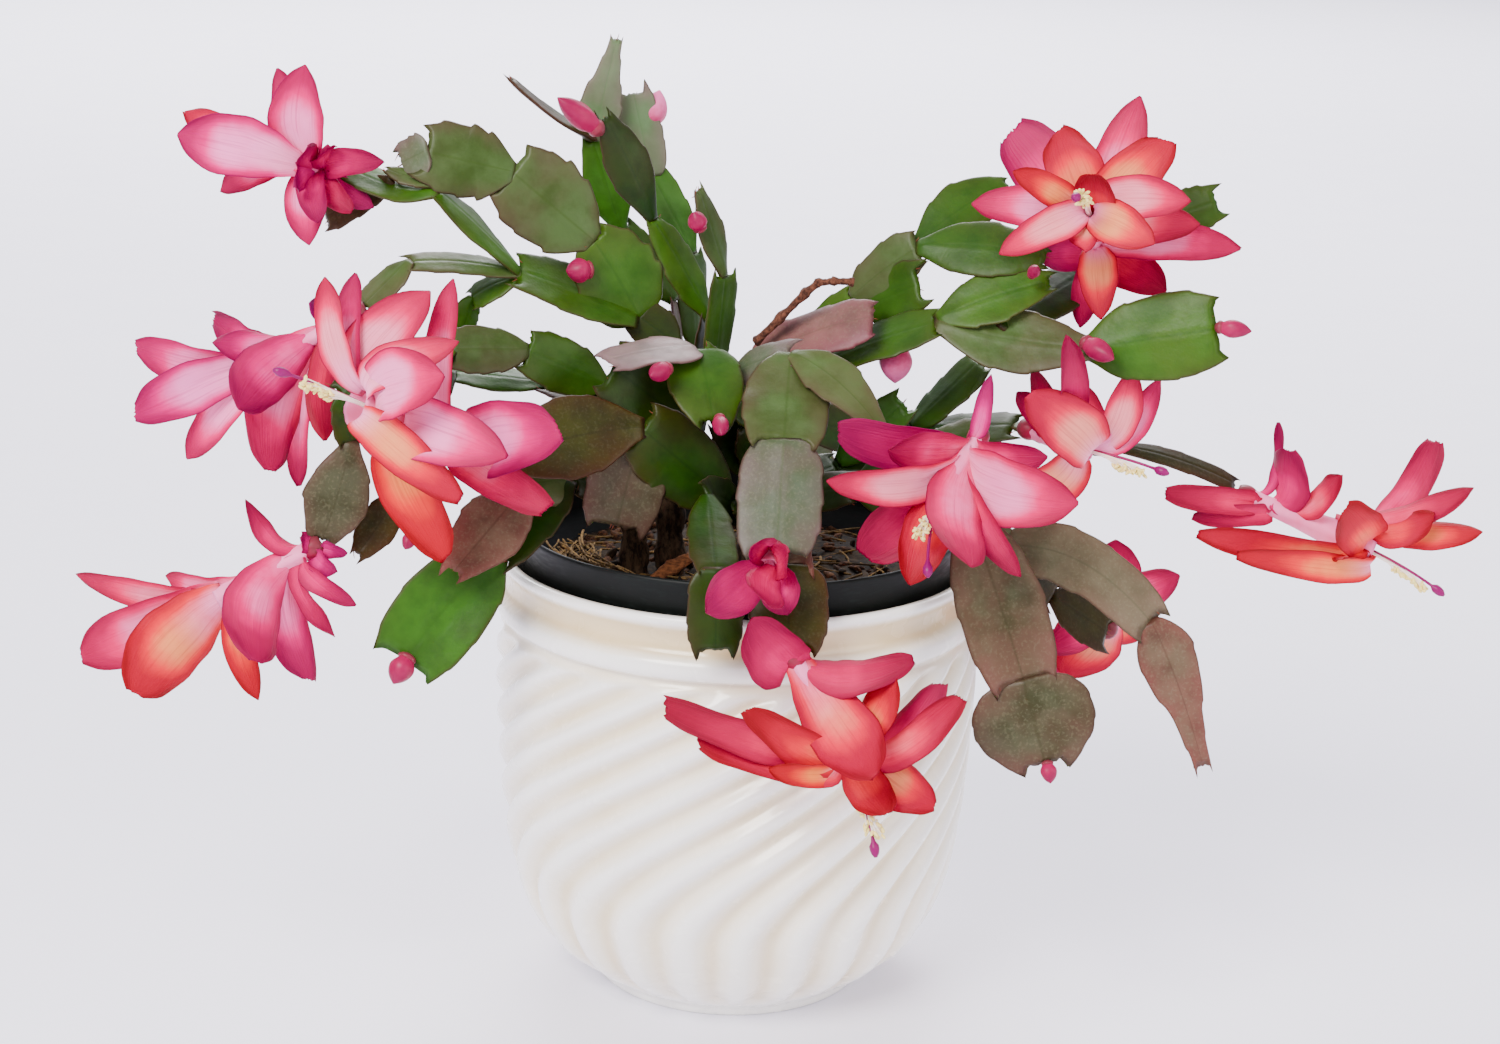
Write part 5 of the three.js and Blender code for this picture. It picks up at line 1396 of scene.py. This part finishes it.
@dataclass
class Segment:
    """One flat leaf-like segment: shallow teeth, a blunt tip with two horns and a midrib.

    Each edge has three teeth, at places within teeth. A segment narrower than full_width is
    thinner, smoother and shorter in its horns. The other pairs of numbers are the least and
    the most that a random draw gives.
    """

    start: Array
    end: Array
    width: float
    turn: float
    rise: float
    shape: LeafShape = LeafShape.OBLONG
    horn: float = 3.0
    tooth: float = 0.5
    thick: float = 0.85
    bristle: float = 0.26
    full_width: float = 14.0
    teeth: tuple[Span, ...] = ((0.28, 0.42), (0.54, 0.68), (0.80, 0.90))
    tooth_share: Span = (0.4, 1.3)
    horn_share: Span = (0.35, 1.3)
    raggedness: Span = (0.0, 0.9)
    bowing: Span = (-0.06, 0.14)
    waving: Span = (0.1, 0.55)
    waves: Span = (1.0, 1.8)
    bristle_length: Span = (1.3, 3.2)
    columns: tuple[float, ...] = (0.07, 0.17, 0.32, 0.5, 0.68, 0.8, 0.9, 0.965, 1.0)

    @property
    def bulk(self) -> float:
        """How much of a full segment's thickness and relief this one has."""
        return min(1.0, self.width / self.full_width)

    def stations(self, teeth: Array) -> Array:
        """Places along the segment where it has points, closer together at its teeth.

        Args:
            teeth: Places of all its teeth.

        Returns:
            The places, from 0 to 1.
        """
        places = [np.linspace(0, 1, 25)] + [teeth + off for off in (-0.03, 0.0, 0.02, 0.045)]
        places = np.unique(np.round(np.clip(np.concatenate(places), 0, 1), 4))
        keep = np.concatenate([[True], np.diff(places) > 0.006])
        keep[-1] = True
        return places[keep]

    def toothed(self, half: Array, s: Array, v: Array, edges: Sequence[Array],
                rng: np.random.Generator) -> Array:
        """Half widths with the teeth of either edge.

        Args:
            half: Half widths of the plain outline.
            s: Places along the segment.
            v: Places across it.
            edges: Places of the teeth of the left and of the right edge.
            rng: The branch's random draws.

        Returns:
            One half width for each place of the grid.
        """
        halves = []
        for teeth in edges:
            depth = self.tooth * rng.uniform(*self.tooth_share, 3) * (0.3 + 0.7 * self.bulk)
            halves.append(half + sum(d * (step(t - 0.2, t, s) - step(t, t + 0.03, s))
                                     for t, d in zip(teeth, depth)))
        return np.where(v[None] < 0, halves[0][:, None], halves[1][:, None])

    def tip(self, s: Array, v: Array, rng: np.random.Generator) -> Array:
        """How far each point is pushed on by the ragged tip, its two horns and its small nub.

        Args:
            s: Places along the segment.
            v: Places across it.
            rng: The branch's random draws.

        Returns:
            One push for each place of the grid.
        """
        far = np.abs(v)
        horns = self.horn * rng.uniform(*self.horn_share, 2) * self.bulk
        corner = step(0.66, 1.0, far) ** 1.4 * np.where(v < 0, horns[0], horns[1])
        ragged = rng.uniform(*self.raggedness, len(v)) * self.bulk * step(0.1, 0.3, far)
        nub = 0.5 * (1 - step(0.0, 0.3, far))
        return (step(0.80, 1.0, s)[:, None] * (corner + nub - 0.5)[None]
                + step(0.94, 1.0, s)[:, None] * ragged[None])

    def lift(self, half: Array, s: Array, v: Array, rng: np.random.Generator) -> Array:
        """How far each point stands off the flat, by a bow across and waves along the edges.

        Args:
            half: Half widths of the plain outline.
            s: Places along the segment.
            v: Places across it.
            rng: The branch's random draws.

        Returns:
            One lift for each place of the grid.
        """
        bow = rng.uniform(*self.bowing) * half[:, None] * v[None] ** 2
        beat = rng.uniform(*self.waves) * s[:, None] + rng.random()
        depth = rng.uniform(*self.waving) * self.bulk
        return bow + depth * np.sin(2 * math.pi * beat) * (v * np.abs(v))[None]

    def flesh(self, half: Array, s: Array, v: Array) -> Array:
        """Half the thickness, with a midrib that has a crease along its top.

        Args:
            half: Half widths of the plain outline.
            s: Places along the segment.
            v: Places across it.

        Returns:
            One half thickness for each place of the grid.
        """
        ends = np.minimum(1, np.minimum(s / 0.05, (1 - s) / 0.03) ** 0.5)[:, None]
        body = (1 - np.abs(v) ** 3)[None] ** 0.5 * (0.62 + 0.38 * self.bulk)
        from_rib = v[None] * half[:, None]
        rib = 0.55 * np.exp(-((from_rib / 1.5) ** 2)) * (1 - 0.6 * s[:, None])
        crease = 0.25 * np.exp(-((from_rib / 0.5) ** 2)) * step(0.1, 0.3, s)[:, None]
        return self.thick * (body + rib - crease) * ends

    def add_to(self, skin: Skin, slot: int, dry: int, rng: np.random.Generator) -> None:
        """Adds the segment to a mesh.

        Args:
            skin: The branch's mesh.
            slot: Index of its colouring among the branch's materials.
            dry: Index of the bristles' material.
            rng: The branch's random draws.
        """
        begin = self.start - unit(self.end - self.start) * JOINT_OVERLAP
        reach = self.end - begin
        edges = [np.sort(rng.uniform(*np.array(self.teeth).T)) for _ in range(2)]
        s, v = self.stations(np.concatenate(edges)), both_ways(self.columns)
        line = begin + reach * s[:, None]
        line[:, 2] += 4 * self.rise * s * (1 - s)
        along = unit(reach + UP * (4 * self.rise * (1 - 2 * s))[:, None])
        faces_up = np.cross(reach, EYE - self.start) @ LEANING_UP >= 0
        normal = turned(unit(off_axis(EYE - line, along)), along,
                        self.turn if faces_up else -self.turn)
        side = np.cross(normal, along)
        half = self.width * through(self.shape.value, s)
        out = self.toothed(half, s, v, edges, rng)
        push = self.tip(s, v, rng)
        lift = self.lift(half, s, v, rng)
        mid = (line[:, None] + side[:, None] * (v[None] * out)[..., None]
               + along[:, None] * push[..., None] + normal[:, None] * lift[..., None])
        skin.add_blade(mid, self.flesh(half, s, v), s, v, slot, tone=rng.random())
        self.bristles(skin, dry, mid[-2], along[-1], normal[-1], rng)

    def bristles(self, skin: Skin, dry: int, edge: Array, along: Array, normal: Array,
                 rng: np.random.Generator) -> None:
        """Adds the dry bristles that stand along the blunt tip.

        Args:
            skin: The branch's mesh.
            dry: Index of the bristles' material.
            edge: Points across the segment, just before its tip.
            along: The way the segment grows.
            normal: The way it faces.
            rng: The branch's random draws.
        """
        t = np.linspace(0, 1, 4)[:, None]
        radii = self.bristle * np.array((1.0, 0.8, 0.5, 0.15))
        for _ in range(int(rng.integers(1, 5))):
            foot = edge[int(rng.integers(3, len(edge) - 3))]
            aim = unit(along + off_axis(rng.normal(0, 0.5, 3), normal))
            reach = rng.uniform(*self.bristle_length)
            line = foot + aim * reach * t + off_axis(rng.normal(0, 0.25, 3), aim) * reach * t * t
            mesh = loft(rod(line, radii, 5, normal + 0.3 * np.cross(normal, along)))
            skin.add(*mesh, dry, along=np.repeat(t[:, 0], 5))


@dataclass
class Branch:
    """A jointed run of segments with its side runs."""

    name: str
    chains: list[list[Row]]
    finishes: Mapping[LeafTint, bpy.types.Material]
    bristle: bpy.types.Material

    def build(self) -> bpy.types.Object:
        """Builds the branch's mesh in its colourings.

        Returns:
            The branch.
        """
        rng = draws(self.name)
        tints = {row[6] for chain in self.chains for row in chain[1:]}
        tints = sorted(tints, key=lambda tint: tint.name)
        skin = Skin()
        for chain in self.chains:
            for before, row in zip(chain, chain[1:]):
                segment = Segment(seen(*before[:3]), seen(*row[:3]), *row[3:6], *row[7:])
                segment.add_to(skin, tints.index(row[6]), len(tints), rng)
        materials = [self.finishes[tint] for tint in tints] + [self.bristle]
        return settle(skin.build(self.name + "_segments", materials), self.name)


@dataclass
class WitheredShoot:
    """A thin dead shoot, jointed and edge-on, that arches over the mauve branch."""

    joints: tuple[Row, ...] = DRY_SHOOT_JOINTS
    girth: float = 1.25
    knot_length: float = 0.03
    rows: int = 40
    sides: int = 10
    seed: int = 11

    def build(self) -> bpy.types.Object:
        """Builds the shoot's mesh, flattened and knotted at its joints.

        Returns:
            The shoot.
        """
        rng = np.random.default_rng(self.seed)
        knots = np.array([seen(*row) for row in self.joints])
        t = np.linspace(0, 1, self.rows)
        s = np.linspace(0, 1, len(knots))
        line = np.stack([np.interp(t, s, knots[:, k]) for k in range(3)], -1)
        line += rng.normal(0, 0.06, line.shape)
        near = np.exp(-((np.abs(t[:, None] - s[None]).min(1) / self.knot_length) ** 2))
        radii = self.girth * (1 + 0.5 * near + rng.normal(0, 0.05, self.rows))[:, None]
        radii = radii * (0.55 + 0.75 * np.abs(np.cos(around(self.sides))))[None]
        mesh = loft(rod(line, radii, self.sides, np.array((0.2, -1.0, 0.1))))
        made = lone("withered_shoot", DRY_SHOOT.material(), mesh, tone=rng.random())
        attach(made, "root")
        LOG.info("%s was added: %d faces", made.name, len(made.data.polygons))
        return made


@dataclass
class StamenBundle:
    """The comb of stamens that leaves a flower's mouth, and the style beyond it.

    A bundle that lies level hangs its anthers in a comb, by as much as droop, and others
    spread them all round, as far as spread.
    """

    name: str
    base: Array
    mouth: Array
    end: Array
    stigma: Array
    materials: Sequence[bpy.types.Material]
    filaments: int = 44
    spread: float = 3.2
    droop: float = 2.9
    filament: float = 0.24
    anther: float = 0.95
    anther_girth: tuple[float, ...] = (0.15, 0.45, 0.52, 0.45, 0.15)
    style: float = 0.42
    stigma_swell: float = 0.95
    stigma_starts: Span = (4.8, 3.2)
    stigma_ends: Span = (1.6, 0.0)
    rows: int = 26
    rng: np.random.Generator = field(init=False)
    root: Array = field(init=False)
    aim: Array = field(init=False)
    down: Array = field(init=False)
    hint: Array = field(init=False)
    length: float = field(init=False)
    level: float = field(init=False)

    def __post_init__(self) -> None:
        """Works out where the bundle springs, how it aims and how level it lies."""
        self.rng = draws(self.name)
        self.root = self.mouth + (self.base - self.mouth) * 0.3
        self.aim = unit(self.end - self.mouth)
        self.length = float(np.linalg.norm(self.end - self.mouth))
        self.down = unit(off_axis(np.array((0.0, -0.25, -1.0)), self.aim))
        self.level = math.hypot(self.aim[0], self.aim[1] * 0.4) ** 1.5
        self.hint = unit(np.array((0.23, 0.51, 1.0)))

    def build(self) -> bpy.types.Object:
        """Builds the bundle's mesh.

        Returns:
            The bundle.
        """
        skin = Skin()
        for order in range(self.filaments):
            self.stamen(skin, order)
        line = bend(self.root, self.on(0.6) - self.down * 2.2 * self.level, self.stigma,
                    np.linspace(0, 1, self.rows))
        left = np.linalg.norm(line[-1] - line, axis=1)
        club = step(*self.stigma_starts, left) - step(*self.stigma_ends, left)
        mesh = loft(rod(line, self.style + self.stigma_swell * club, 10, self.hint))
        skin.add(*mesh, 1, along=np.repeat(np.linspace(0, 1, self.rows), 10))
        return settle(skin.build(self.name + "_stamens", self.materials), "stamens_" + self.name)

    def on(self, share: float) -> Array:
        """The point at a share of the way from the mouth to the bundle's end."""
        return self.mouth + self.aim * self.length * share

    def stamen(self, skin: Skin, order: int) -> None:
        """Adds a filament that bends out of the bundle and the anther at its tip.

        Args:
            skin: The bundle's mesh.
            order: Its number, from the mouth on.
        """
        rng, level = self.rng, self.level
        share = 0.45 + 0.62 * (order + rng.random()) / self.filaments
        round_off = unit(off_axis(rng.normal(size=3), self.aim)) * self.spread
        round_off = round_off * rng.random() ** 0.5
        comb_off = self.down * rng.uniform(0.5, 1.0) * self.droop
        comb_off = comb_off + np.cross(self.aim, self.down) * rng.normal(0, 0.8)
        start = self.root + unit(off_axis(rng.normal(size=3), self.aim)) * 0.8 * rng.random()
        tip = self.on(share) + round_off * (1 - level) + comb_off * level
        line = bend(start, self.on(share * 0.85) - self.down * 0.9 * level, tip,
                    np.linspace(0, 1, 8))
        radii = self.filament * np.linspace(1.0, 0.65, 8)
        skin.add(*loft(rod(line, radii, 5, self.hint)), 0, along=0.0)
        lie = unit(unit(line[-1] - line[-2]) + rng.normal(0, 0.6, 3))
        bead = tip + lie * np.array((-1.0, -0.6, 0.0, 0.6, 1.0))[:, None] * self.anther
        girth = self.anther * np.array(self.anther_girth)
        skin.add(*loft(rod(bead, girth, 6, unit(np.array((0.31, 0.87, 0.4))))), 0, along=1.0)


@dataclass
class Flower:
    """One flower: ovary, tube with an open throat, and petals in a loose spiral.

    Outlines are half widths from root to tip: a long petal is slim, a short one broad, and
    one with its tip cut off has the third. Pairs of numbers are the least and the most that
    a random draw gives, as shares of a petal's half width, length or width, or in mm.
    """

    name: str
    plan: FlowerPlan
    materials: Sequence[bpy.types.Material]
    slim: Knots = ((0, 0.46), (0.14, 0.58), (0.34, 0.84), (0.52, 0.98), (0.66, 1.0),
                   (0.8, 0.91), (0.9, 0.73), (0.96, 0.48), (1, 0.08))
    broad: Knots = ((0, 0.38), (0.12, 0.50), (0.3, 0.75), (0.48, 0.94), (0.62, 1.0),
                    (0.76, 0.93), (0.87, 0.74), (0.95, 0.44), (1, 0.05))
    cut_off: Knots = ((0, 0.40), (0.12, 0.52), (0.3, 0.74), (0.5, 0.91), (0.7, 1.0),
                      (0.86, 0.97), (0.95, 0.88), (1, 0.66))
    tube_profile: Knots = ((0, 0.55), (0.1, 0.75), (0.25, 0.70), (0.45, 0.70), (0.65, 0.72),
                           (0.85, 0.78), (0.97, 0.84), (1.0, 0.86), (0.98, 0.78), (0.9, 0.62),
                           (0.7, 0.4), (0.5, 0.1))
    tube_sides: int = 20
    flaring: float = 0.85
    ovary_length: float = 6.5
    ovary_radius: float = 3.2
    broad_from: Span = (0.12, 0.32)
    cupping: Span = (0.20, 0.42)
    rolling: Span = (-0.05, 0.16)
    ripples: Span = (1.2, 2.6)
    rippling: Span = (0.3, 1.0)
    curling: Span = (-0.4, 2.4)
    curl_length: float = 40.0
    swinging: Span = (-1.2, 1.2)
    bellying: Span = (-0.02, 0.05)
    slanting: Span = (-0.22, 0.22)
    tearing: Span = (-0.6, 0.6)
    midline: float = 0.22
    half_thickness: float = 0.27
    columns: tuple[float, ...] = (0.08, 0.22, 0.4, 0.58, 0.75, 0.89, 0.97, 1.0)

    def build(self) -> bpy.types.Object:
        """Builds the flower's mesh.

        Returns:
            The flower.
        """
        rng = draws(self.name)
        skin = Skin()
        base, mouth = seen(*self.plan.base), seen(*self.plan.mouth)
        self.tube(skin, base, mouth)
        for order, row in enumerate(self.plan.petals):
            self.petal(skin, base, mouth, row, order, rng)
        return settle(skin.build(self.name + "_bloom", self.materials), self.name)

    def tube(self, skin: Skin, base: Array, mouth: Array) -> None:
        """Adds the ovary and the tube, open at its mouth.

        Args:
            skin: The flower's mesh.
            base: Where the flower grows from its segment.
            mouth: The middle of the tube's open end.
        """
        run = mouth - base
        axis = unit(run)
        across = unit(off_axis(np.array((0.0, -1.0, 0.0)), axis))
        s, r = np.array(self.tube_profile).T
        r = TUBE_RADIUS * r + self.flaring * (self.plan.flare - PETAL_RING) * s * s
        # The tube ends where its last petals spring.
        s = s * min(1.0, max(row[4] for row in self.plan.petals) * PETAL_ROOT + 0.02)
        lobes = 1 + 0.07 * np.cos(5 * around(self.tube_sides))
        wheel = spokes(across, np.cross(axis, across), self.tube_sides)
        rings = (base + run * s[:, None])[:, None] + wheel * (r[:, None] * lobes)[..., None]
        skin.add(*loft(rings), 0, along=0.15, across=0.5, deep=0.28, hue=0.58, tone=0.4)
        length = min(self.ovary_length, float(np.linalg.norm(run)) * 0.35)
        t = np.linspace(0, 1, 9)
        line = base + axis * (length * t[:, None] - 0.4)
        radii = self.ovary_radius * np.sqrt(np.maximum(0.05, 1 - (2 * t - 0.85) ** 2 / 1.4))
        skin.add(*loft(rod(line, radii, 14, across)), 1, along=np.repeat(t, 14))

    def outline(self, s: Array, length: float, width: float, cut: float) -> Array:
        """Half widths of a petal.

        Args:
            s: Places along it.
            length: Its length.
            width: Its full width.
            cut: How much its tip is cut off.

        Returns:
            One half width for each place.
        """
        broadness = step(*self.broad_from, np.array(width / length))
        shape = through(self.slim, s) * (1 - broadness) + through(self.broad, s) * broadness
        return 0.5 * width * (shape * (1 - cut) + through(self.cut_off, s) * cut)

    def petal(self, skin: Skin, base: Array, mouth: Array, row: Row, order: int,
              rng: np.random.Generator) -> None:
        """Adds one petal: cupped along its middle, with a recurved tip and uneven edges.

        Args:
            skin: The flower's mesh.
            base: Where the flower grows from its segment.
            mouth: The middle of the tube's open end.
            row: The petal's row of the plan.
            order: Its number in the plan.
            rng: The flower's random draws.
        """
        x, z, depth, width, place, deep, hue, cut = (*row, 0.0)[:8]
        axis = unit(mouth - base)
        root = base + (mouth - base) * (place * PETAL_ROOT - order * PETAL_STEP)
        tip = seen(x, z, depth)
        outward = unit(off_axis(tip - root, axis))
        root = root + outward * (PETAL_RING + (self.plan.flare - PETAL_RING) * min(place, 1) ** 2)
        length = float(np.linalg.norm(tip - root))
        hoop = np.cross(axis, outward)
        facing = unit(np.cross(tip - root, EYE - tip))
        facing = facing if facing @ hoop >= 0 else -facing
        s = np.concatenate([np.linspace(0, 0.86, 17), (0.895, 0.925, 0.95, 0.97, 0.987, 1.0)])
        v = both_ways(self.columns)
        line = bend(root, root + axis * length * PETAL_SPRING, tip, s)
        along = unit(np.gradient(line, s, axis=0))
        side = unit(off_axis(hoop + (facing - hoop) * PETAL_FACING, along))
        half = self.outline(s, length, width, cut)
        uneven = [1 + 0.05 * np.sin(rng.uniform(5, 9) * s + 6 * rng.random())
                  + 0.02 * np.sin(rng.uniform(18, 30) * s + 6 * rng.random()) for _ in range(2)]
        out = half[:, None] * np.where(v[None] < 0, uneven[0][:, None], uneven[1][:, None])
        # Relief: a cup with rolled edges, ripples, a curled-back tip, a belly and a midline.
        cup = rng.uniform(*self.cupping) * (1 - 0.8 * step(0.4, 1.0, s))
        roll = rng.uniform(*self.rolling) * step(0.3, 0.8, s)
        bow = half[:, None] * (cup[:, None] * v[None] ** 2 + roll[:, None] * v[None] ** 6)
        beat = rng.uniform(*self.ripples) * s[:, None] + rng.random()
        ripple = rng.uniform(*self.rippling) * np.sin(2 * math.pi * beat) * (v ** 3)[None]
        ripple = ripple * step(0.3, 0.8, s)[:, None]
        curl = rng.uniform(*self.curling) * length / self.curl_length
        curl = curl * step(0.6, 1.0, s)[:, None] ** 1.5
        swing = rng.uniform(*self.swinging) * np.sin(math.pi * s) * step(0.1, 0.5, s)
        belly = rng.uniform(*self.bellying) * length * np.sin(math.pi * s)[:, None]
        fold = self.midline * np.exp(-((v / 0.1) ** 2))[None] * (1 - step(0.5, 0.9, s))[:, None]
        # A cut-off tip ends on a slant and is torn.
        slant = rng.uniform(*self.slanting) * width * v
        ragged = cut * (slant + rng.uniform(*self.tearing, len(v)))
        mid = (line[:, None] + side[:, None] * (v[None] * out + swing[:, None])[..., None]
               + along[:, None] * (ragged[None] * step(0.82, 1.0, s)[:, None])[..., None]
               + np.cross(along, side)[:, None] * (bow + ripple - curl - belly - fold)[..., None])
        thick = (self.half_thickness * (1 - np.abs(v) ** 6)[None]
                 * (1.5 - 0.9 * step(0, 0.5, s)[:, None]))
        skin.add_blade(mid, thick, s, v, 0, tone=rng.random() * 9, deep=deep,
                       hue=0.5 + 0.5 * hue)


@dataclass
class Bud:
    """A closed bud: overlapping scales wrapped to a point on a short green base."""

    name: str
    root: Array
    tip: Array
    radius: float
    materials: Sequence[bpy.types.Material]
    cad_node: str | None
    profile: Knots = ((0, 0.42), (0.16, 0.72), (0.34, 1.0), (0.62, 0.94), (0.86, 0.52), (1, 0.06))
    collar: tuple[float, ...] = (0.3, 0.6, 0.78, 0.8, 0.72, 0.4)
    scale_edge: float = 0.10
    rows: int = 26
    sides: int = 30

    def build(self) -> bpy.types.Object:
        """Builds the bud's mesh.

        Returns:
            The bud.
        """
        skin = Skin()
        run = self.tip - self.root
        t = np.linspace(0, 1, self.rows)
        radii = self.radius * through(self.profile, t)[:, None]
        turn = 1.5 * around(self.sides)[None] + 2.2 * t[:, None] + self.radius
        wrap = self.scale_edge * np.abs(np.sin(turn)) ** 0.6
        hint = unit(np.array((0.13, -1.0, 0.07)))
        body = loft(rod(self.root + run * t[:, None], radii * (0.93 + wrap), self.sides, hint))
        skin.add(*body, 0, along=np.repeat(t, self.sides))
        line = self.root + run * np.linspace(-0.08, 0.2, len(self.collar))[:, None]
        collar = loft(rod(line, self.radius * np.array(self.collar), 12, hint))
        skin.add(*collar, 1, along=np.repeat(np.linspace(0, 0.6, len(self.collar)), 12))
        made = skin.build(self.name + "_closed", self.materials)
        if self.cad_node:
            return settle(made, self.cad_node)
        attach(made, "root")
        LOG.info("%s was added: %d faces", made.name, len(made.data.polygons))
        return made


@dataclass(frozen=True)
class Lamp:
    """A round soft lamp, with its places and size in metres and its power in watts."""

    name: str
    place: tuple[float, float, float]
    target: tuple[float, float, float]
    size: float
    power: float
    colour: tuple[float, float, float]

    def build(self) -> None:
        """Makes the lamp and aims it."""
        data = bpy.data.lights.new(self.name, "AREA")
        data.shape, data.size, data.energy, data.color = ("DISK", self.size, self.power,
                                                          self.colour)
        back = unit(np.array(self.place) - self.target)
        right = unit(np.cross(UP, back))
        place_in_scene(bpy.data.objects.new(self.name, data), right, np.cross(back, right), back,
                       np.array(self.place))


# Large soft lamps on the plant, and one on the floor far behind it.
LAMPS = (
    Lamp("key_lamp", (-0.75, -1.25, 1.35), (0.0, 0.0, 0.16), 1.0, 62.0, (1.0, 0.985, 0.96)),
    Lamp("fill_lamp", (1.35, -0.95, 0.75), (0.0, 0.0, 0.16), 1.2, 15.0, (1.0, 0.96, 0.90)),
    Lamp("back_lamp", (0.5, 1.3, 1.3), (0.0, 0.0, 0.16), 1.1, 13.0, (1.0, 0.98, 1.0)),
    Lamp("backdrop_lamp", (-0.3, 3.2, 2.6), (0.0, 3.5, 0.0), 3.0, 330.0, (0.98, 0.98, 1.0)),
)


@dataclass
class Studio:
    """The pale floor, the pale surround, the soft lamps and the camera."""

    lens_pixels: float = 2600.0
    image_width: float = 1500.0
    sensor: float = 36.0
    stand: tuple[float, float, float] = (0.0, -744.07, 347.19)
    pitch: float = 15.5214
    roll: float = 1.7351
    yaw: float = 0.2183
    surround: str = "#E9E6F6"
    surround_strength: float = 1.12
    floor_rings: tuple[float, ...] = (0.5, 60.0, 200.0, 600.0, 2000.0, 6000.0)
    floor_sides: int = 48

    def build(self) -> None:
        """Makes the floor, the lamps, the surround and the camera."""
        self.floor()
        for lamp in LAMPS:
            lamp.build()
        world = bpy.data.worlds.new("studio_surround")
        world.use_nodes = True
        backdrop = world.node_tree.nodes["Background"]
        backdrop.inputs["Color"].default_value = linear(self.surround)
        backdrop.inputs["Strength"].default_value = self.surround_strength
        bpy.context.scene.world = world
        self.camera()

    def camera(self) -> None:
        """Makes the camera, at the photographed viewing angle."""
        pitch, roll, yaw = (math.radians(a) for a in (self.pitch, self.roll, self.yaw))
        ahead = np.array((math.sin(yaw) * math.cos(pitch), math.cos(yaw) * math.cos(pitch),
                          -math.sin(pitch)))
        right = unit(np.cross(ahead, UP))
        upright = np.cross(right, ahead)
        turned_right = math.cos(roll) * right + math.sin(roll) * upright
        turned_up = -math.sin(roll) * right + math.cos(roll) * upright
        data = bpy.data.cameras.new("camera")
        data.sensor_width = self.sensor
        data.lens = self.lens_pixels / self.image_width * self.sensor
        data.clip_start, data.clip_end = 0.05, 50.0
        made = bpy.data.objects.new("camera", data)
        place_in_scene(made, turned_right, turned_up, -ahead, np.array(self.stand) * MM)
        bpy.context.scene.camera = made

    def floor(self) -> None:
        """Makes a wide pale floor under the pot's foot."""
        sides = self.floor_sides
        rings = lathe([(r, 0.0) for r in self.floor_rings], sides)
        faces = [(i + j, i + j + sides, i + k + sides, i + k)
                 for i in range(0, (len(rings) - 1) * sides, sides)
                 for j, k in ((j, (j + 1) % sides) for j in range(sides))]
        faces.append(tuple(range(sides)))
        made = lone("studio_floor", BoardFinish().material(), (rings.reshape(-1, 3), faces))


def main() -> None:
    """Builds the scene piece by piece."""
    logging.basicConfig(level=logging.INFO, format="%(message)s")
    Studio().build()
    for part in (CoverPot, NurseryPot, PottingSoil, BarkChip):
        part().build()
    for name, joints in STEMS.items():
        WoodyStem(name, joints).build()
    WitheredShoot().build()
    leaves = {tint: tint.value.material() for tint in LeafTint}
    bristle = BRISTLE.material()
    for name, chains in BRANCHES.items():
        Branch(name, chains, leaves, bristle).build()
    petal, ovary = PETAL.material(), OVARY.material()
    pollen, stigma = POLLEN.material(), STIGMA.material()
    for name, plan in FLOWERS.items():
        Flower(name, plan, [petal, ovary]).build()
        base, mouth = seen(*plan.base), seen(*plan.mouth)
        if plan.stamens:
            ends = [seen(*row) for row in plan.stamens]
            StamenBundle(name, base, mouth, *ends, [pollen, stigma]).build()
    closed, faded = BUD.material(), PALE_BUD.material()
    for name, (root, tip, radius) in BUDS.items():
        finish = faded if name in FADED_BUDS else closed
        cad_node = name if name in SLOTS else None
        Bud(name, seen(*root), seen(*tip), radius, [finish, ovary], cad_node).build()


if __name__ == "__main__":
    main()
